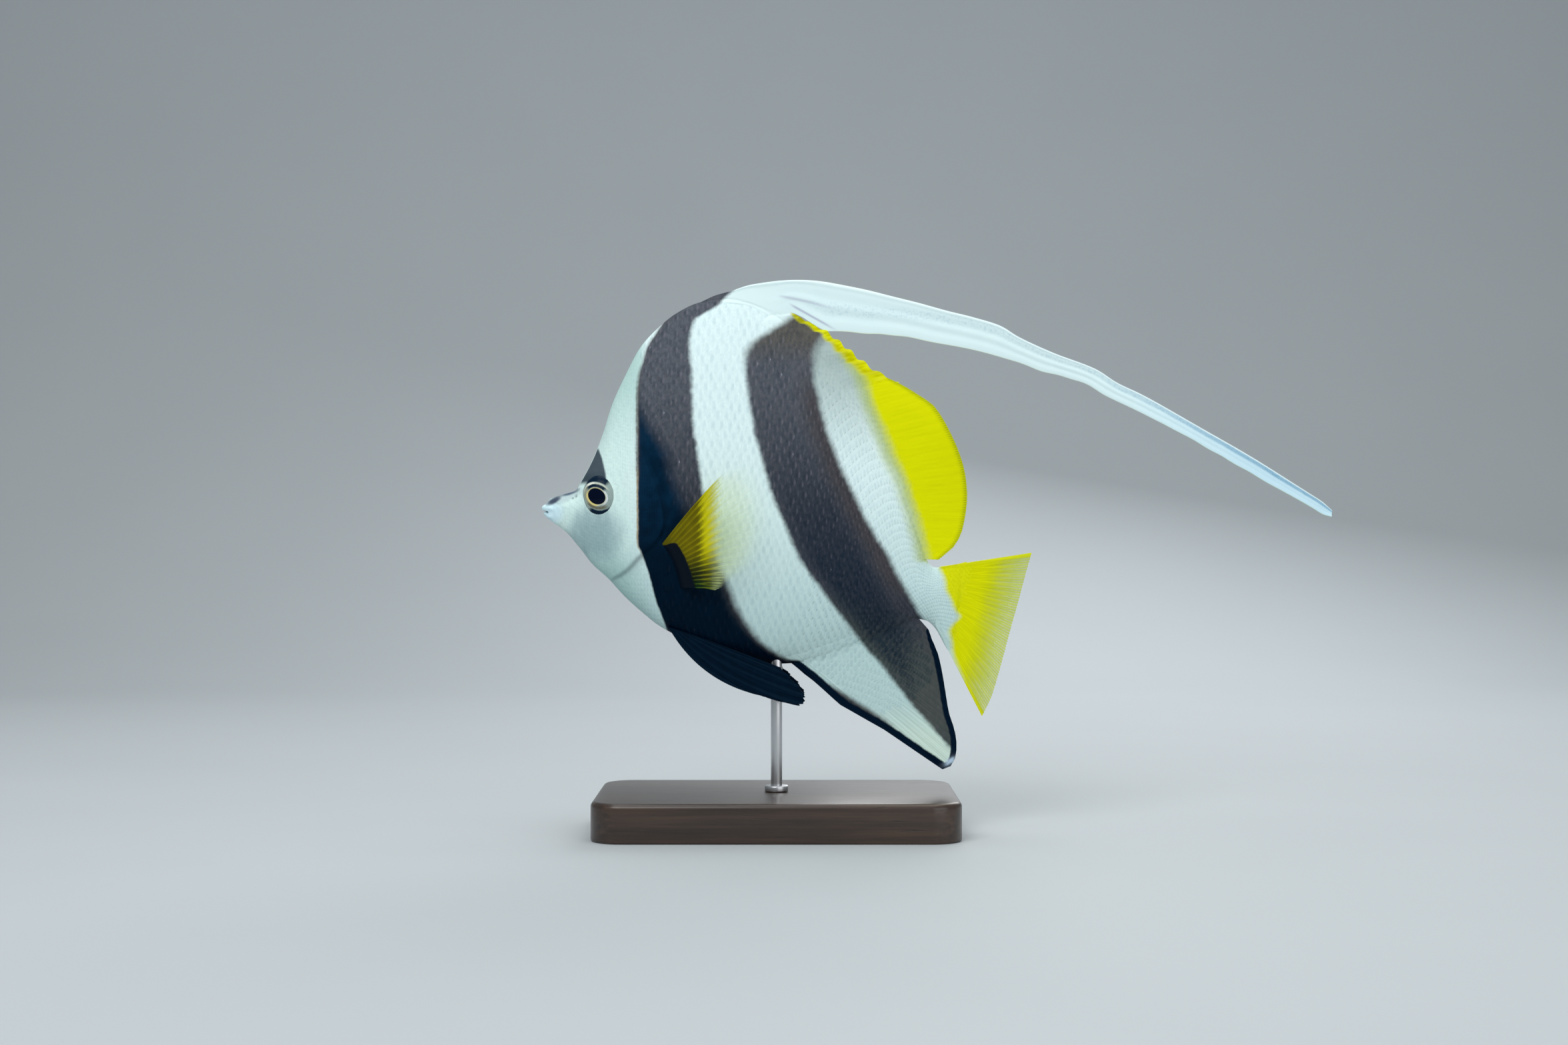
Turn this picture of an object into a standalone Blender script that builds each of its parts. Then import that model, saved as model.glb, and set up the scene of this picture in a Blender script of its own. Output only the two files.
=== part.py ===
# Longfin bannerfish, life size, swimming to the left on a display stand.
# Metres, +Z up. The fish faces -X and its left side is -Y.
# The origin is the centre of the base's underside.
# Every length below is in millimetres until MM turns it into metres.

import math
import random

import bmesh
import bpy
import numpy as np

MM = 0.001
GAP = 0.3  # between neighbouring parts

# Body, read along its length: (x, value)
BACK = [
    (-90.0, 127.2), (-88.0, 129.4), (-83.0, 131.0), (-78.5, 132.4), (-75.7, 137.0), (-71.8, 144.5),
    (-68.0, 154.0), (-64.2, 166.0), (-58.5, 178.5), (-53.3, 188.2), (-46.8, 195.5), (-39.0, 201.8),
    (-30.0, 206.0), (-19.5, 207.6), (-11.7, 206.2), (-3.9, 203.0), (3.9, 197.9), (14.3, 188.0),
    (24.7, 176.0), (35.1, 160.4), (45.5, 140.4), (53.8, 118.3), (58.0, 106.5), (61.5, 102.6),
    (66.0, 103.0), (74.0, 104.8),
]
BELLY = [
    (-90.0, 122.6), (-87.6, 120.2), (-82.0, 116.0), (-76.7, 109.8), (-71.5, 103.2), (-65.8, 98.0),
    (-59.0, 90.6), (-52.8, 85.0), (-45.5, 79.2), (-35.1, 73.8), (-27.3, 70.6), (-16.9, 67.6),
    (-6.5, 65.6), (1.3, 64.6), (9.1, 65.0), (19.5, 67.6), (35.1, 73.6), (45.5, 78.0), (54.9, 82.0),
    (58.5, 81.4), (62.0, 78.2), (66.3, 70.6), (70.0, 65.5), (74.0, 62.0),
]
WIDEST_HEIGHT = [
    (-91.0, 125.0), (-82.0, 125.3), (-69.0, 127.4), (-56.0, 126.0), (-43.0, 122.2), (-17.0, 117.0),
    (9.0, 111.8), (35.0, 102.7), (61.0, 91.5), (74.0, 84.0),
]
HALF_WIDTH = [
    (-91.0, 1.7), (-87.0, 3.3), (-82.0, 5.2), (-76.7, 7.4), (-69.0, 9.7), (-61.0, 11.2),
    (-53.0, 12.4), (-43.0, 13.1), (-30.0, 13.2), (-17.0, 12.7), (-4.0, 11.7), (9.0, 10.4),
    (22.0, 8.9), (35.0, 7.2), (48.0, 5.4), (58.0, 4.0), (66.0, 3.2), (74.0, 2.6),
]
BACK_POWER = 1.5  # over 1, the back narrows to an edge
BELLY_POWER = 0.95  # under 1, the belly is rounder
KEEL_POWER = 1.5  # of the belly over the anal fin, where it narrows like the back
KEEL_START, KEEL_END = -14.0, 18.0  # x, between which the belly narrows
BODY_SIDES = 26
HEAD_SIDES = 34
HEAD_STATIONS = 25
TORSO_STATIONS = 46
TAIL_STATIONS = 9

# Lines where the head, torso and tail part: (x, z)
GILL_LINE = [
    (-53.8, 220.0), (-53.8, 188.0), (-54.1, 167.7), (-52.8, 152.1), (-49.4, 141.7), (-45.5, 132.6),
    (-43.6, 124.8), (-43.4, 118.3), (-45.5, 113.6), (-49.1, 110.0), (-53.3, 107.0), (-57.2, 102.7),
    (-61.1, 99.8), (-65.0, 97.8), (-69.0, 94.0), (-74.0, 86.0), (-80.0, 50.0),
]
TAIL_LINE = [(59.9, 220.0), (59.5, 118.0), (57.6, 104.0), (55.6, 92.0), (56.2, 80.0), (57.5, 50.0)]
TAIL_END_LINE = [(70.6, 120.0), (69.3, 103.6), (67.6, 89.0), (64.3, 74.6), (60.5, 50.0)]
GILL_RIM = 0.8  # how far the gill cover's edge stands off the flank

EYE_CENTRE = (-69.1, 7.7, 130.0)
EYE_RADIUS = 7.0
EYE_HALF_DEPTH = 3.8
EYE_TURN = math.radians(16)  # looking a little forward
ORBIT_RADIUS = 6.9
ORBIT_THICKNESS = 0.75
ORBIT_SIDES = 20

MOUTH_CORNER = (-85.4, 3.1, 121.2)
UPPER_LIP_FRONT = (-89.6, 0.0, 126.5)
LOWER_LIP_FRONT = (-89.9, 0.0, 123.2)
LIP_RADIUS = 1.4
LIP_STATIONS = 15
LIP_SIDES = 10
MOUTH_OPENING = 0.7
NOSTRILS = [(-79.6, 129.4, 0.5), (-78.0, 130.3, 0.65)]  # x, z, radius
NOSTRIL_DEPTH = 1.2

ROD_RADIUS = 2.2
ROD_DEPTH_IN_BODY = 8.0
ROD_DEPTH_IN_BASE = 6.0
BASE_LENGTH = 140.0
BASE_WIDTH = 84.0
BASE_HEIGHT = 15.0
BASE_CORNER = 12.0
BASE_BEVEL = 2.0
COLLAR_RADIUS = 4.6
COLLAR_HEIGHT = 2.4

MEMBRANE = 0.6
RAY_RIDGE = 0.6
FIN_ROWS = 6
ROOT_BURIED = 3.0  # how far a fin's root is drawn into the body before it is cut off at the skin

PALE_SKIN = (0.70, 0.79, 0.78)
PALE_FIN = (0.80, 0.90, 0.91)
YELLOW_FIN = (0.66, 0.70, 0.01)
DARK_FIN = (0.02, 0.025, 0.035)
EYE_COLOUR = (0.01, 0.015, 0.05)
WOOD_COLOUR = (0.04, 0.025, 0.018)
STEEL_COLOUR = (0.55, 0.56, 0.58)


# Curves

def smooth(x, points):
    """The value at x on a smooth line through the points, which doesn't overshoot them."""
    xs = np.array([p[0] for p in points], float)
    vs = np.array([p[1] for p in points], float)
    steps = np.diff(xs)
    slopes = np.diff(vs) / steps
    tangents = np.zeros(len(xs))
    tangents[0], tangents[-1] = slopes[0], slopes[-1]
    for i in range(1, len(xs) - 1):
        if slopes[i - 1] * slopes[i] > 0:
            tangents[i] = 2 / (1 / slopes[i - 1] + 1 / slopes[i])
    i = int(np.clip(np.searchsorted(xs, x) - 1, 0, len(steps) - 1))
    t = (x - xs[i]) / steps[i]
    start = (1 + 2 * t) * (1 - t) ** 2 * vs[i] + t * (1 - t) ** 2 * steps[i] * tangents[i]
    end = t * t * (3 - 2 * t) * vs[i + 1] + t * t * (t - 1) * steps[i] * tangents[i + 1]
    return start + end


def step(low, high, x):
    """Rises smoothly from 0 at low to 1 at high."""
    t = min(max((x - low) / (high - low), 0.0), 1.0)
    return t * t * (3 - 2 * t)


def along(points, fractions):
    """Points at these fractions of the length of a smooth line through the points."""
    line = np.array(points, float)
    padded = np.vstack([2 * line[0] - line[1], line, 2 * line[-1] - line[-2]])
    fine = []
    for i in range(len(line) - 1):
        a, b, c, d = padded[i : i + 4]
        for t in np.linspace(0, 1, 12, endpoint=False):
            curve = 2 * b + (c - a) * t
            curve += (2 * a - 5 * b + 4 * c - d) * t**2 + (3 * b - a - 3 * c + d) * t**3
            fine.append(curve / 2)
    fine = np.array(fine + [line[-1]])
    lengths = np.concatenate([[0], np.cumsum(np.linalg.norm(np.diff(fine, axis=0), axis=1))])
    wanted = np.asarray(fractions) * lengths[-1]
    return np.stack([np.interp(wanted, lengths, fine[:, k]) for k in range(line.shape[1])], axis=1)


def shifted(line, distance):
    """The line moved sideways, to its left as it is drawn for a positive distance."""
    line = np.array(line, float)
    direction = np.gradient(line, axis=0)
    direction /= np.linalg.norm(direction, axis=1)[:, None]
    return line + distance * np.stack([-direction[:, 1], direction[:, 0]], axis=1)


# Meshes

def add_object(name, points, faces):
    mesh = bpy.data.meshes.new(name)
    mesh.from_pydata([tuple(float(v) * MM for v in p) for p in points], [], [tuple(f) for f in faces])
    mesh.update()
    shape = bmesh.new()
    shape.from_mesh(mesh)
    bmesh.ops.recalc_face_normals(shape, faces=shape.faces)
    if shape.calc_volume(signed=True) < 0:
        bmesh.ops.reverse_faces(shape, faces=shape.faces)
    shape.to_mesh(mesh)
    shape.free()
    obj = bpy.data.objects.new(name, mesh)
    bpy.context.scene.collection.objects.link(obj)
    return obj


def ring_faces(rings, sides):
    """Quads between closed rings of points that follow one another."""
    faces = []
    for ring in range(rings - 1):
        for side in range(sides):
            after = (side + 1) % sides
            low, high = ring * sides, (ring + 1) * sides
            faces.append((low + side, low + after, high + after, high + side))
    return faces


def loft(name, rings):
    """A closed body through rings of points, with a fan of triangles over each end."""
    sides = len(rings[0])
    points = [p for ring in rings for p in ring]
    faces = ring_faces(len(rings), sides)
    for ring, start in ((rings[0], 0), (rings[-1], (len(rings) - 1) * sides)):
        points.append(np.mean(np.array(ring), axis=0))
        for side in range(sides):
            faces.append((len(points) - 1, start + side, start + (side + 1) % sides))
    return add_object(name, points, faces)


def prism(name, outline, half_width=40.0):
    """An outline in x and z, drawn out to both sides in y."""
    count = len(outline)
    points = [(x, -half_width, z) for x, z in outline] + [(x, half_width, z) for x, z in outline]
    faces = [tuple(range(count)), tuple(range(2 * count - 1, count - 1, -1))]
    for i in range(count):
        after = (i + 1) % count
        faces.append((i, after, count + after, count + i))
    return add_object(name, points, faces)


def ellipsoid(name, centre, radii, turn=0.0, segments=24, rings=12):
    """Its poles are on the y axis before the turn about z."""
    points = [(0.0, -radii[1], 0.0)]
    for ring in range(1, rings):
        tilt = math.pi * ring / rings
        for segment in range(segments):
            angle = 2 * math.pi * segment / segments
            spread = math.sin(tilt)
            x, z = radii[0] * spread * math.cos(angle), radii[2] * spread * math.sin(angle)
            points.append((x, -radii[1] * math.cos(tilt), z))
    points.append((0.0, radii[1], 0.0))
    faces = [tuple(v + 1 for v in face) for face in ring_faces(rings - 1, segments)]
    last = len(points) - 1
    for segment in range(segments):
        after = (segment + 1) % segments
        faces.append((0, 1 + segment, 1 + after))
        faces.append((last, last - segments + segment, last - segments + after))
    turned = []
    for x, y, z in points:
        across = x * math.cos(turn) - y * math.sin(turn)
        out = x * math.sin(turn) + y * math.cos(turn)
        turned.append((centre[0] + across, centre[1] + out, centre[2] + z))
    return add_object(name, turned, faces)


def tube(name, path, radii, sides=8, closed=False):
    """A round bar along a path of points."""
    path = np.array(path, float)
    if closed:
        direction = np.roll(path, -1, axis=0) - np.roll(path, 1, axis=0)
    else:
        direction = np.gradient(path, axis=0)
    direction /= np.linalg.norm(direction, axis=1)[:, None]
    side = np.cross(direction, np.mean(np.cross(path - path.mean(axis=0), direction), axis=0))
    side /= np.linalg.norm(side, axis=1)[:, None]
    up = np.cross(direction, side)
    rings = []
    for centre, s, u, radius in zip(path, side, up, radii):
        angles = [2 * math.pi * k / sides for k in range(sides)]
        rings.append([centre + radius * (math.cos(a) * s + math.sin(a) * u) for a in angles])
    if not closed:
        return loft(name, rings)
    points = [p for ring in rings for p in ring]
    faces = ring_faces(len(rings) + 1, sides)
    return add_object(name, points, [tuple(v % len(points) for v in face) for face in faces])


def lathe(name, x, profile, sides=24):
    """A turned solid about an upright axis at x: (radius, z) from the bottom to the top."""
    rings = []
    for radius, z in profile:
        angles = [2 * math.pi * k / sides for k in range(sides)]
        rings.append([(x + radius * math.cos(a), radius * math.sin(a), z) for a in angles])
    return loft(name, rings)


def plate(name, middle, thickness):
    """A thin fin: middle holds columns of points from root to margin, thickness a value for each.
    Both faces are split along the same diagonals."""
    middle = np.array(middle, float)
    columns, rows = middle.shape[:2]
    normal = np.cross(np.gradient(middle, axis=0), np.gradient(middle, axis=1))
    normal /= np.linalg.norm(normal, axis=2)[:, :, None]
    offset = normal * (np.array(thickness) / 2)[:, :, None]
    points = np.concatenate([(middle + offset).reshape(-1, 3), (middle - offset).reshape(-1, 3)])
    back = columns * rows
    faces = []
    for c in range(columns - 1):
        for r in range(rows - 1):
            a, b = c * rows + r, (c + 1) * rows + r
            halves = [(a, b, b + 1), (a, b + 1, a + 1)] if c % 2 else [(a, b, a + 1), (b, b + 1, a + 1)]
            faces += halves + [tuple(back + v for v in reversed(half)) for half in halves]
    border = [c * rows for c in range(columns)]
    border += [(columns - 1) * rows + r for r in range(1, rows)]
    border += [c * rows + rows - 1 for c in range(columns - 2, -1, -1)]
    border += [r for r in range(rows - 2, 0, -1)]
    for i, v in enumerate(border):
        after = border[(i + 1) % len(border)]
        faces += [(v, back + v, after), (after, back + v, back + after)]
    return add_object(name, points, faces)


def helper(obj):
    obj.hide_render = True
    obj.display_type = "WIRE"
    return obj


def remove(obj):
    mesh = obj.data
    bpy.data.objects.remove(obj)
    bpy.data.meshes.remove(mesh)


def apply_boolean(obj, operation, others):
    """Applies one Boolean with all the other objects, then takes them away."""
    group = bpy.data.collections.new("cutters")
    bpy.context.scene.collection.children.link(group)
    for other in others:
        bpy.context.scene.collection.objects.unlink(helper(other))
        group.objects.link(other)
    modifier = obj.modifiers.new("boolean", "BOOLEAN")
    modifier.operation = operation
    modifier.solver = "EXACT"
    modifier.operand_type = "COLLECTION"
    modifier.collection = group
    bpy.context.view_layer.objects.active = obj
    bpy.ops.object.modifier_apply(modifier=modifier.name)
    for other in others:
        remove(other)
    bpy.data.collections.remove(group)


def keep_largest(obj):
    """Keeps the largest closed surface, so that a node is one body."""
    shape = bmesh.new()
    shape.from_mesh(obj.data)
    bmesh.ops.remove_doubles(shape, verts=shape.verts, dist=0.002 * MM)
    left = set(shape.faces)
    groups = []
    while left:
        group = [left.pop()]
        for face in group:
            for edge in face.edges:
                for other in edge.link_faces:
                    if other in left:
                        left.remove(other)
                        group.append(other)
        groups.append(group)
    largest = max(groups, key=lambda group: sum(face.calc_area() for face in group))
    for group in groups:
        if group is not largest:
            bmesh.ops.delete(shape, geom=group, context="FACES")
    bmesh.ops.triangulate(shape, faces=shape.faces)
    shape.to_mesh(obj.data)
    shape.free()


def finish(obj, colour, roughness, metallic=0.0, angle=38):
    keep_largest(obj)
    material = bpy.data.materials.new(obj.name)
    material.use_nodes = True
    shader = material.node_tree.nodes["Principled BSDF"]
    shader.inputs["Base Color"].default_value = (*colour, 1.0)
    shader.inputs["Roughness"].default_value = roughness
    shader.inputs["Metallic"].default_value = metallic
    obj.data.materials.clear()
    obj.data.materials.append(material)
    obj.data.shade_smooth()
    obj.data.set_sharp_from_angle(angle=math.radians(angle))
    return obj


# Body

def belly_power(x):
    return BELLY_POWER + (KEEL_POWER - BELLY_POWER) * step(KEEL_START, KEEL_END, x)


def section(x, sides, grow=0.0, rim=0.0):
    """The ring of the body at x, from the top of the back round its right side."""
    back = smooth(x, BACK) + grow
    belly = smooth(x, BELLY) - grow
    middle = smooth(x, WIDEST_HEIGHT)
    width = smooth(x, HALF_WIDTH) + grow
    ring = []
    for k in range(sides):
        angle = 2 * math.pi * k / sides
        upper = math.cos(angle) > 0
        z = middle + math.cos(angle) * ((back - middle) if upper else (middle - belly))
        out = abs(math.sin(angle)) ** (BACK_POWER if upper else belly_power(x))
        lift = rim * step(-68.0, -46.0, x) * (1 - step(142.0, 168.0, z)) * abs(math.sin(angle))
        y = math.copysign(width * out + lift, math.sin(angle)) if k % (sides // 2) else 0.0
        ring.append((x, y, z))
    return ring


def body(name, start, end, stations, sides, grow=0.0, rim=0.0):
    return loft(name, [section(x, sides, grow, rim) for x in np.linspace(start, end, stations)])


def flank(x, z):
    """Half the body's width at this point of its side."""
    back, belly, middle = smooth(x, BACK), smooth(x, BELLY), smooth(x, WIDEST_HEIGHT)
    height = (z - middle) / ((back - middle) if z > middle else (middle - belly))
    power = BACK_POWER if z > middle else belly_power(x)
    return smooth(x, HALF_WIDTH) * math.sqrt(max(1 - height * height, 0.0)) ** power


def gill_line(distance):
    """The gill line drawn smoothly and moved sideways."""
    return shifted(along(GILL_LINE, np.linspace(0, 1, 48)), distance)


def region(left, right):
    """The outline between two lines that both run downwards."""
    return [tuple(p) for p in left] + [tuple(p) for p in reversed(right)]


def lip(name, front, drop):
    """A bar from one corner of the mouth round the front to the other."""
    x, y, z = MOUTH_CORNER
    half = []
    for share, out, rise in ((0.0, 1.0, 0.0), (0.4, 0.92, 0.5), (0.8, 0.62, 0.9)):
        half.append((x + (front[0] + 0.5 - x) * share, y * out, z + (front[2] - z) * share + drop * rise))
    path = [(a, -b, c) for a, b, c in half] + [front] + half[::-1]
    fractions = np.linspace(0, 1, LIP_STATIONS)
    radii = [LIP_RADIUS * (0.6 + 0.4 * math.sin(math.pi * f)) for f in fractions]
    return tube(name, along(path, fractions), radii, LIP_SIDES)


def eye_shape(name, side, grow=0.0):
    x, y, z = EYE_CENTRE
    radii = (EYE_RADIUS + grow, EYE_HALF_DEPTH + grow, EYE_RADIUS + grow)
    return ellipsoid(name, (x, side * y, z), radii, side * EYE_TURN, 22, 10)


def orbit_rim(name, side):
    """A low round rim about the eye."""
    x, y, z = EYE_CENTRE
    path = []
    for k in range(ORBIT_SIDES):
        angle = 2 * math.pi * k / ORBIT_SIDES
        across, up = ORBIT_RADIUS * math.cos(angle), ORBIT_RADIUS * math.sin(angle)
        path.append((
            x + across * math.cos(EYE_TURN),
            side * (flank(x + across * math.cos(EYE_TURN), z + up) + 0.1),
            z + up,
        ))
    return tube(name, path, [ORBIT_THICKNESS] * ORBIT_SIDES, 6, closed=True)


def mouth_cut():
    """A thin wedge from the lips back to the corners of the mouth."""
    x, _, z = MOUTH_CORNER
    half = MOUTH_OPENING / 2
    front_x = UPPER_LIP_FRONT[0] - 2 * LIP_RADIUS
    front_z = (UPPER_LIP_FRONT[2] + LOWER_LIP_FRONT[2]) / 2 + 0.5
    return prism("mouth_cut", [
        (x - 0.4, z + 0.35), (front_x, front_z + half), (front_x, front_z - half), (x - 0.4, z + 0.25),
    ], 6.0)


def make_head():
    head = body("head", -90.0, -40.0, HEAD_STATIONS, HEAD_SIDES, rim=GILL_RIM)
    area = region([(-110.0, 220.0), (-110.0, 50.0)], gill_line(-GAP / 2))
    apply_boolean(head, "INTERSECT", [prism("head_area", area)])
    fused = [lip("upper_lip", UPPER_LIP_FRONT, 0.5), lip("lower_lip", LOWER_LIP_FRONT, -0.5)]
    fused += [orbit_rim("orbit_left", -1), orbit_rim("orbit_right", 1)]
    apply_boolean(head, "UNION", fused)
    cuts = [eye_shape("socket_left", -1, GAP), eye_shape("socket_right", 1, GAP), mouth_cut()]
    for x, z, radius in NOSTRILS:
        for side in (-1, 1):
            radii = (radius, NOSTRIL_DEPTH, radius)
            cuts.append(ellipsoid("nostril", (x, side * flank(x, z), z), radii, 0.0, 8, 6))
    apply_boolean(head, "DIFFERENCE", cuts)
    return finish(head, PALE_SKIN, 0.42)


def rod_hole(name, low, high):
    return lathe(name, 0.0, [(ROD_RADIUS + GAP, low), (ROD_RADIUS + GAP, high)])


def make_torso():
    torso = body("torso", -70.0, 60.0, TORSO_STATIONS, BODY_SIDES)
    area = region(gill_line(GAP / 2), shifted(TAIL_LINE, -GAP / 2))
    apply_boolean(torso, "INTERSECT", [prism("torso_area", area)])
    belly = smooth(0.0, BELLY)
    socket = rod_hole("rod_socket", belly - 10, belly + ROD_DEPTH_IN_BODY + GAP)
    apply_boolean(torso, "DIFFERENCE", [socket])
    return finish(torso, PALE_SKIN, 0.45)


def make_tail():
    tail = body("tail_peduncle", 54.0, 73.5, TAIL_STATIONS, BODY_SIDES)
    area = region(shifted(TAIL_LINE, GAP / 2), TAIL_END_LINE)
    apply_boolean(tail, "INTERSECT", [prism("tail_area", area)])
    return finish(tail, PALE_SKIN, 0.45)


def make_eyes():
    for name, side in (("eye_left", -1), ("eye_right", 1)):
        finish(eye_shape(name, side), EYE_COLOUR, 0.12)


# Fins

def spread(roots, tips, bow=0.0, rows=FIN_ROWS, notch=0.0):
    """Columns of points in x and z from each root to its tip, with one more between each two rays.
    Notch draws the margin in between the rays."""
    roots, tips = np.array(roots, float), np.array(tips, float)
    columns = []
    for k in range(2 * len(roots) - 1):
        near, far = k // 2, (k + 1) // 2
        root = (roots[near] + roots[far]) / 2
        tip = (tips[near] + tips[far]) / 2
        if near != far:
            tip = tip + (root - tip) * notch
        side = np.array([-(tip - root)[1], (tip - root)[0]])
        fractions = np.linspace(0, 1, rows)[:, None]
        columns.append(root + (tip - root) * fractions + side * bow * 4 * fractions * (1 - fractions))
    return np.array(columns)


def ray_thickness(columns, rows, root, fade=2.0, ridge=RAY_RIDGE):
    """Thick and scaled at the root, then a membrane with a ridge along every second column."""
    thickness = np.zeros((columns, rows))
    for c in range(columns):
        for r in range(rows):
            v = r / (rows - 1)
            thickness[c, r] = MEMBRANE + (root - MEMBRANE) * (1 - v) ** fade
            if c % 2 == 0:
                thickness[c, r] += ridge * (1 - 0.75 * v) * min(1.0, 3 * v + 0.3)
    return thickness


def in_plane(columns, y=0.0):
    """Columns in x and z set upright, at y or at a value of y for each point."""
    return np.stack([columns[:, :, 0], np.zeros(columns.shape[:2]) + y, columns[:, :, 1]], axis=2)


def sway(columns, amount, waves, seed):
    """A gentle sideways wave of the free margin."""
    rng = random.Random(seed)
    start = rng.uniform(0, 2 * math.pi)
    count, rows = columns.shape[:2]
    y = np.zeros((count, rows))
    for c in range(count):
        for r in range(rows):
            wave = math.sin(start + waves * 2 * math.pi * c / (count - 1))
            y[c, r] = amount * (r / (rows - 1)) ** 2 * wave
    return y


def cut_by_body(fin, start, end, stations=40):
    apply_boolean(fin, "DIFFERENCE", [body("grown_body", start, end, stations, BODY_SIDES, GAP)])


def buried(roots, tips, depth):
    """Roots moved back along their rays, to be cut off at the skin."""
    roots, tips = np.array(roots, float), np.array(tips, float)
    direction = (tips - roots) / np.linalg.norm(tips - roots, axis=1)[:, None]
    return roots - direction * depth


SOFT_DORSAL_RAYS = 25
SOFT_DORSAL_ROOT = [(29.3, 169.4), (35.1, 160.4), (45.5, 140.4), (53.8, 118.3), (58.5, 105.5)]
SOFT_DORSAL_MARGIN = [
    (48.3, 174.3), (55.9, 170.0), (61.1, 165.9), (65.0, 160.4), (68.9, 152.9), (71.8, 145.9),
    (73.8, 138.6), (74.6, 130.0), (73.8, 122.2), (72.3, 115.7), (69.4, 110.5), (65.8, 107.4), (63.4, 105.4),
]


def make_soft_dorsal():
    fractions = np.linspace(0, 1, SOFT_DORSAL_RAYS)
    tips = along(SOFT_DORSAL_MARGIN, fractions)
    roots = buried(along(SOFT_DORSAL_ROOT, fractions), tips, ROOT_BURIED)
    columns = spread(roots, tips)
    middle = in_plane(columns, sway(columns, 1.2, 1.3, 3))
    fin = plate("dorsal_fin_soft", middle, ray_thickness(*columns.shape[:2], 4.2))
    cut_by_body(fin, 15.0, 68.0)
    return finish(fin, YELLOW_FIN, 0.5)


SPINE_ROOTS = [
    (6.5, 195.3), (10.1, 192.1), (14.0, 188.2), (17.7, 184.1), (21.3, 179.9), (25.2, 175.2), (29.1, 169.8),
]
SPINE_TIPS = [
    (13.3, 198.5), (19.5, 194.9), (24.4, 191.2), (29.0, 187.3), (34.1, 183.0), (40.0, 178.9), (48.1, 174.7),
]
SPINE_NOTCH = 0.09  # how far the margin is drawn in between two spines, as a share of their length


def make_spiny_dorsal():
    roots = buried(SPINE_ROOTS, SPINE_TIPS, ROOT_BURIED)
    columns = spread(roots, SPINE_TIPS, notch=SPINE_NOTCH)
    y = np.zeros(columns.shape[:2])
    for c in range(0, columns.shape[0], 2):
        y[c] = 0.35 if c % 4 else -0.35
    thickness = ray_thickness(*columns.shape[:2], 3.6, 1.6, 0.9)
    fin = plate("dorsal_fin_spiny", in_plane(columns, y), thickness)
    cut_by_body(fin, -8.0, 45.0)
    return finish(fin, YELLOW_FIN, 0.5)


BANNER_TOP = [
    (-24.0, 208.6), (-17.4, 210.1), (-11.7, 212.2), (-6.5, 213.2), (1.3, 214.2), (9.1, 214.5), (16.9, 214.0),
    (24.7, 212.7), (35.1, 210.6), (45.5, 208.0), (55.9, 205.4), (66.3, 202.5), (76.7, 199.9), (87.1, 196.6),
    (94.9, 191.9), (107.9, 185.9), (123.5, 179.9), (132.6, 174.2), (144.3, 168.5), (165.1, 156.8),
    (185.9, 145.1), (206.7, 132.3), (213.2, 128.2), (217.4, 124.6),
]
BANNER_FOOT = [
    (-23.6, 203.0), (-17.0, 203.5), (-9.0, 201.0), (-2.0, 197.6), (4.0, 195.6), (8.6, 199.6), (14.0, 199.2),
    (20.8, 196.3), (35.1, 194.0), (45.5, 193.2), (55.9, 191.6), (66.3, 189.3), (81.9, 185.9), (92.3, 183.0),
    (102.7, 179.1), (118.3, 174.7), (128.7, 169.0), (144.3, 161.2), (154.7, 156.0), (175.5, 144.3),
    (196.3, 132.6), (208.7, 125.9), (213.2, 123.3), (216.9, 122.2),
]
BANNER_STATIONS = 42
BANNER_ROWS = [0.0, 0.16, 0.34, 0.5, 0.66, 0.84, 0.95, 1.0]
BANNER_FOLD = 0.9
BANNER_SWAY = 3.5


def make_banner():
    """The long fourth spine is its upper edge; soft folds run along it."""
    fractions = np.linspace(0, 1, BANNER_STATIONS)
    foot, top = along(BANNER_FOOT, fractions), along(BANNER_TOP, fractions)
    columns = np.array([[f + (t - f) * v for v in BANNER_ROWS] for f, t in zip(foot, top)])
    y = np.zeros(columns.shape[:2])
    thickness = np.zeros(columns.shape[:2])
    folds = [0.0, -0.5, 0.6, -0.8, 0.7, -0.2, 0.0, 0.0]
    spine = [0.0, 0.1, 0.25, 0.1, 0.0, 0.1, 0.9, 0.5]
    for c, fraction in enumerate(fractions):
        for r, v in enumerate(BANNER_ROWS):
            wave = math.sin(2 * math.pi * (1.1 * fraction + 0.12 * v))
            y[c, r] = BANNER_SWAY * step(0.15, 1.0, fraction) * wave
            y[c, r] += BANNER_FOLD * folds[r] * step(0.04, 0.2, fraction) * (1 - 0.6 * fraction)
            root = 2.6 * (1 - step(0.0, 0.16, fraction)) * (1 - v) ** 1.5
            thickness[c, r] = MEMBRANE + root + spine[r] * (1 - 0.75 * fraction)
    fin = plate("dorsal_banner", in_plane(columns, y), thickness)
    cut_by_body(fin, -40.0, 20.0)
    return finish(fin, PALE_FIN, 0.45)


ANAL_ROOT = [(5.6, 64.8), (9.1, 65.4), (19.5, 68.0), (35.1, 74.0), (45.5, 78.4), (55.0, 82.6)]
ANAL_SPINE_TIPS = [(14.6, 58.2), (25.0, 48.7), (41.8, 39.2)]
ANAL_TIP_MARGIN = [
    (64.6, 23.7), (68.6, 25.7), (70.2, 32.0), (69.4, 39.0), (67.3, 45.5), (66.0, 53.3),
    (64.7, 61.1), (62.9, 68.9), (60.8, 73.6), (59.3, 78.0),
]
ANAL_SOFT_RAYS = 18


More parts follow.
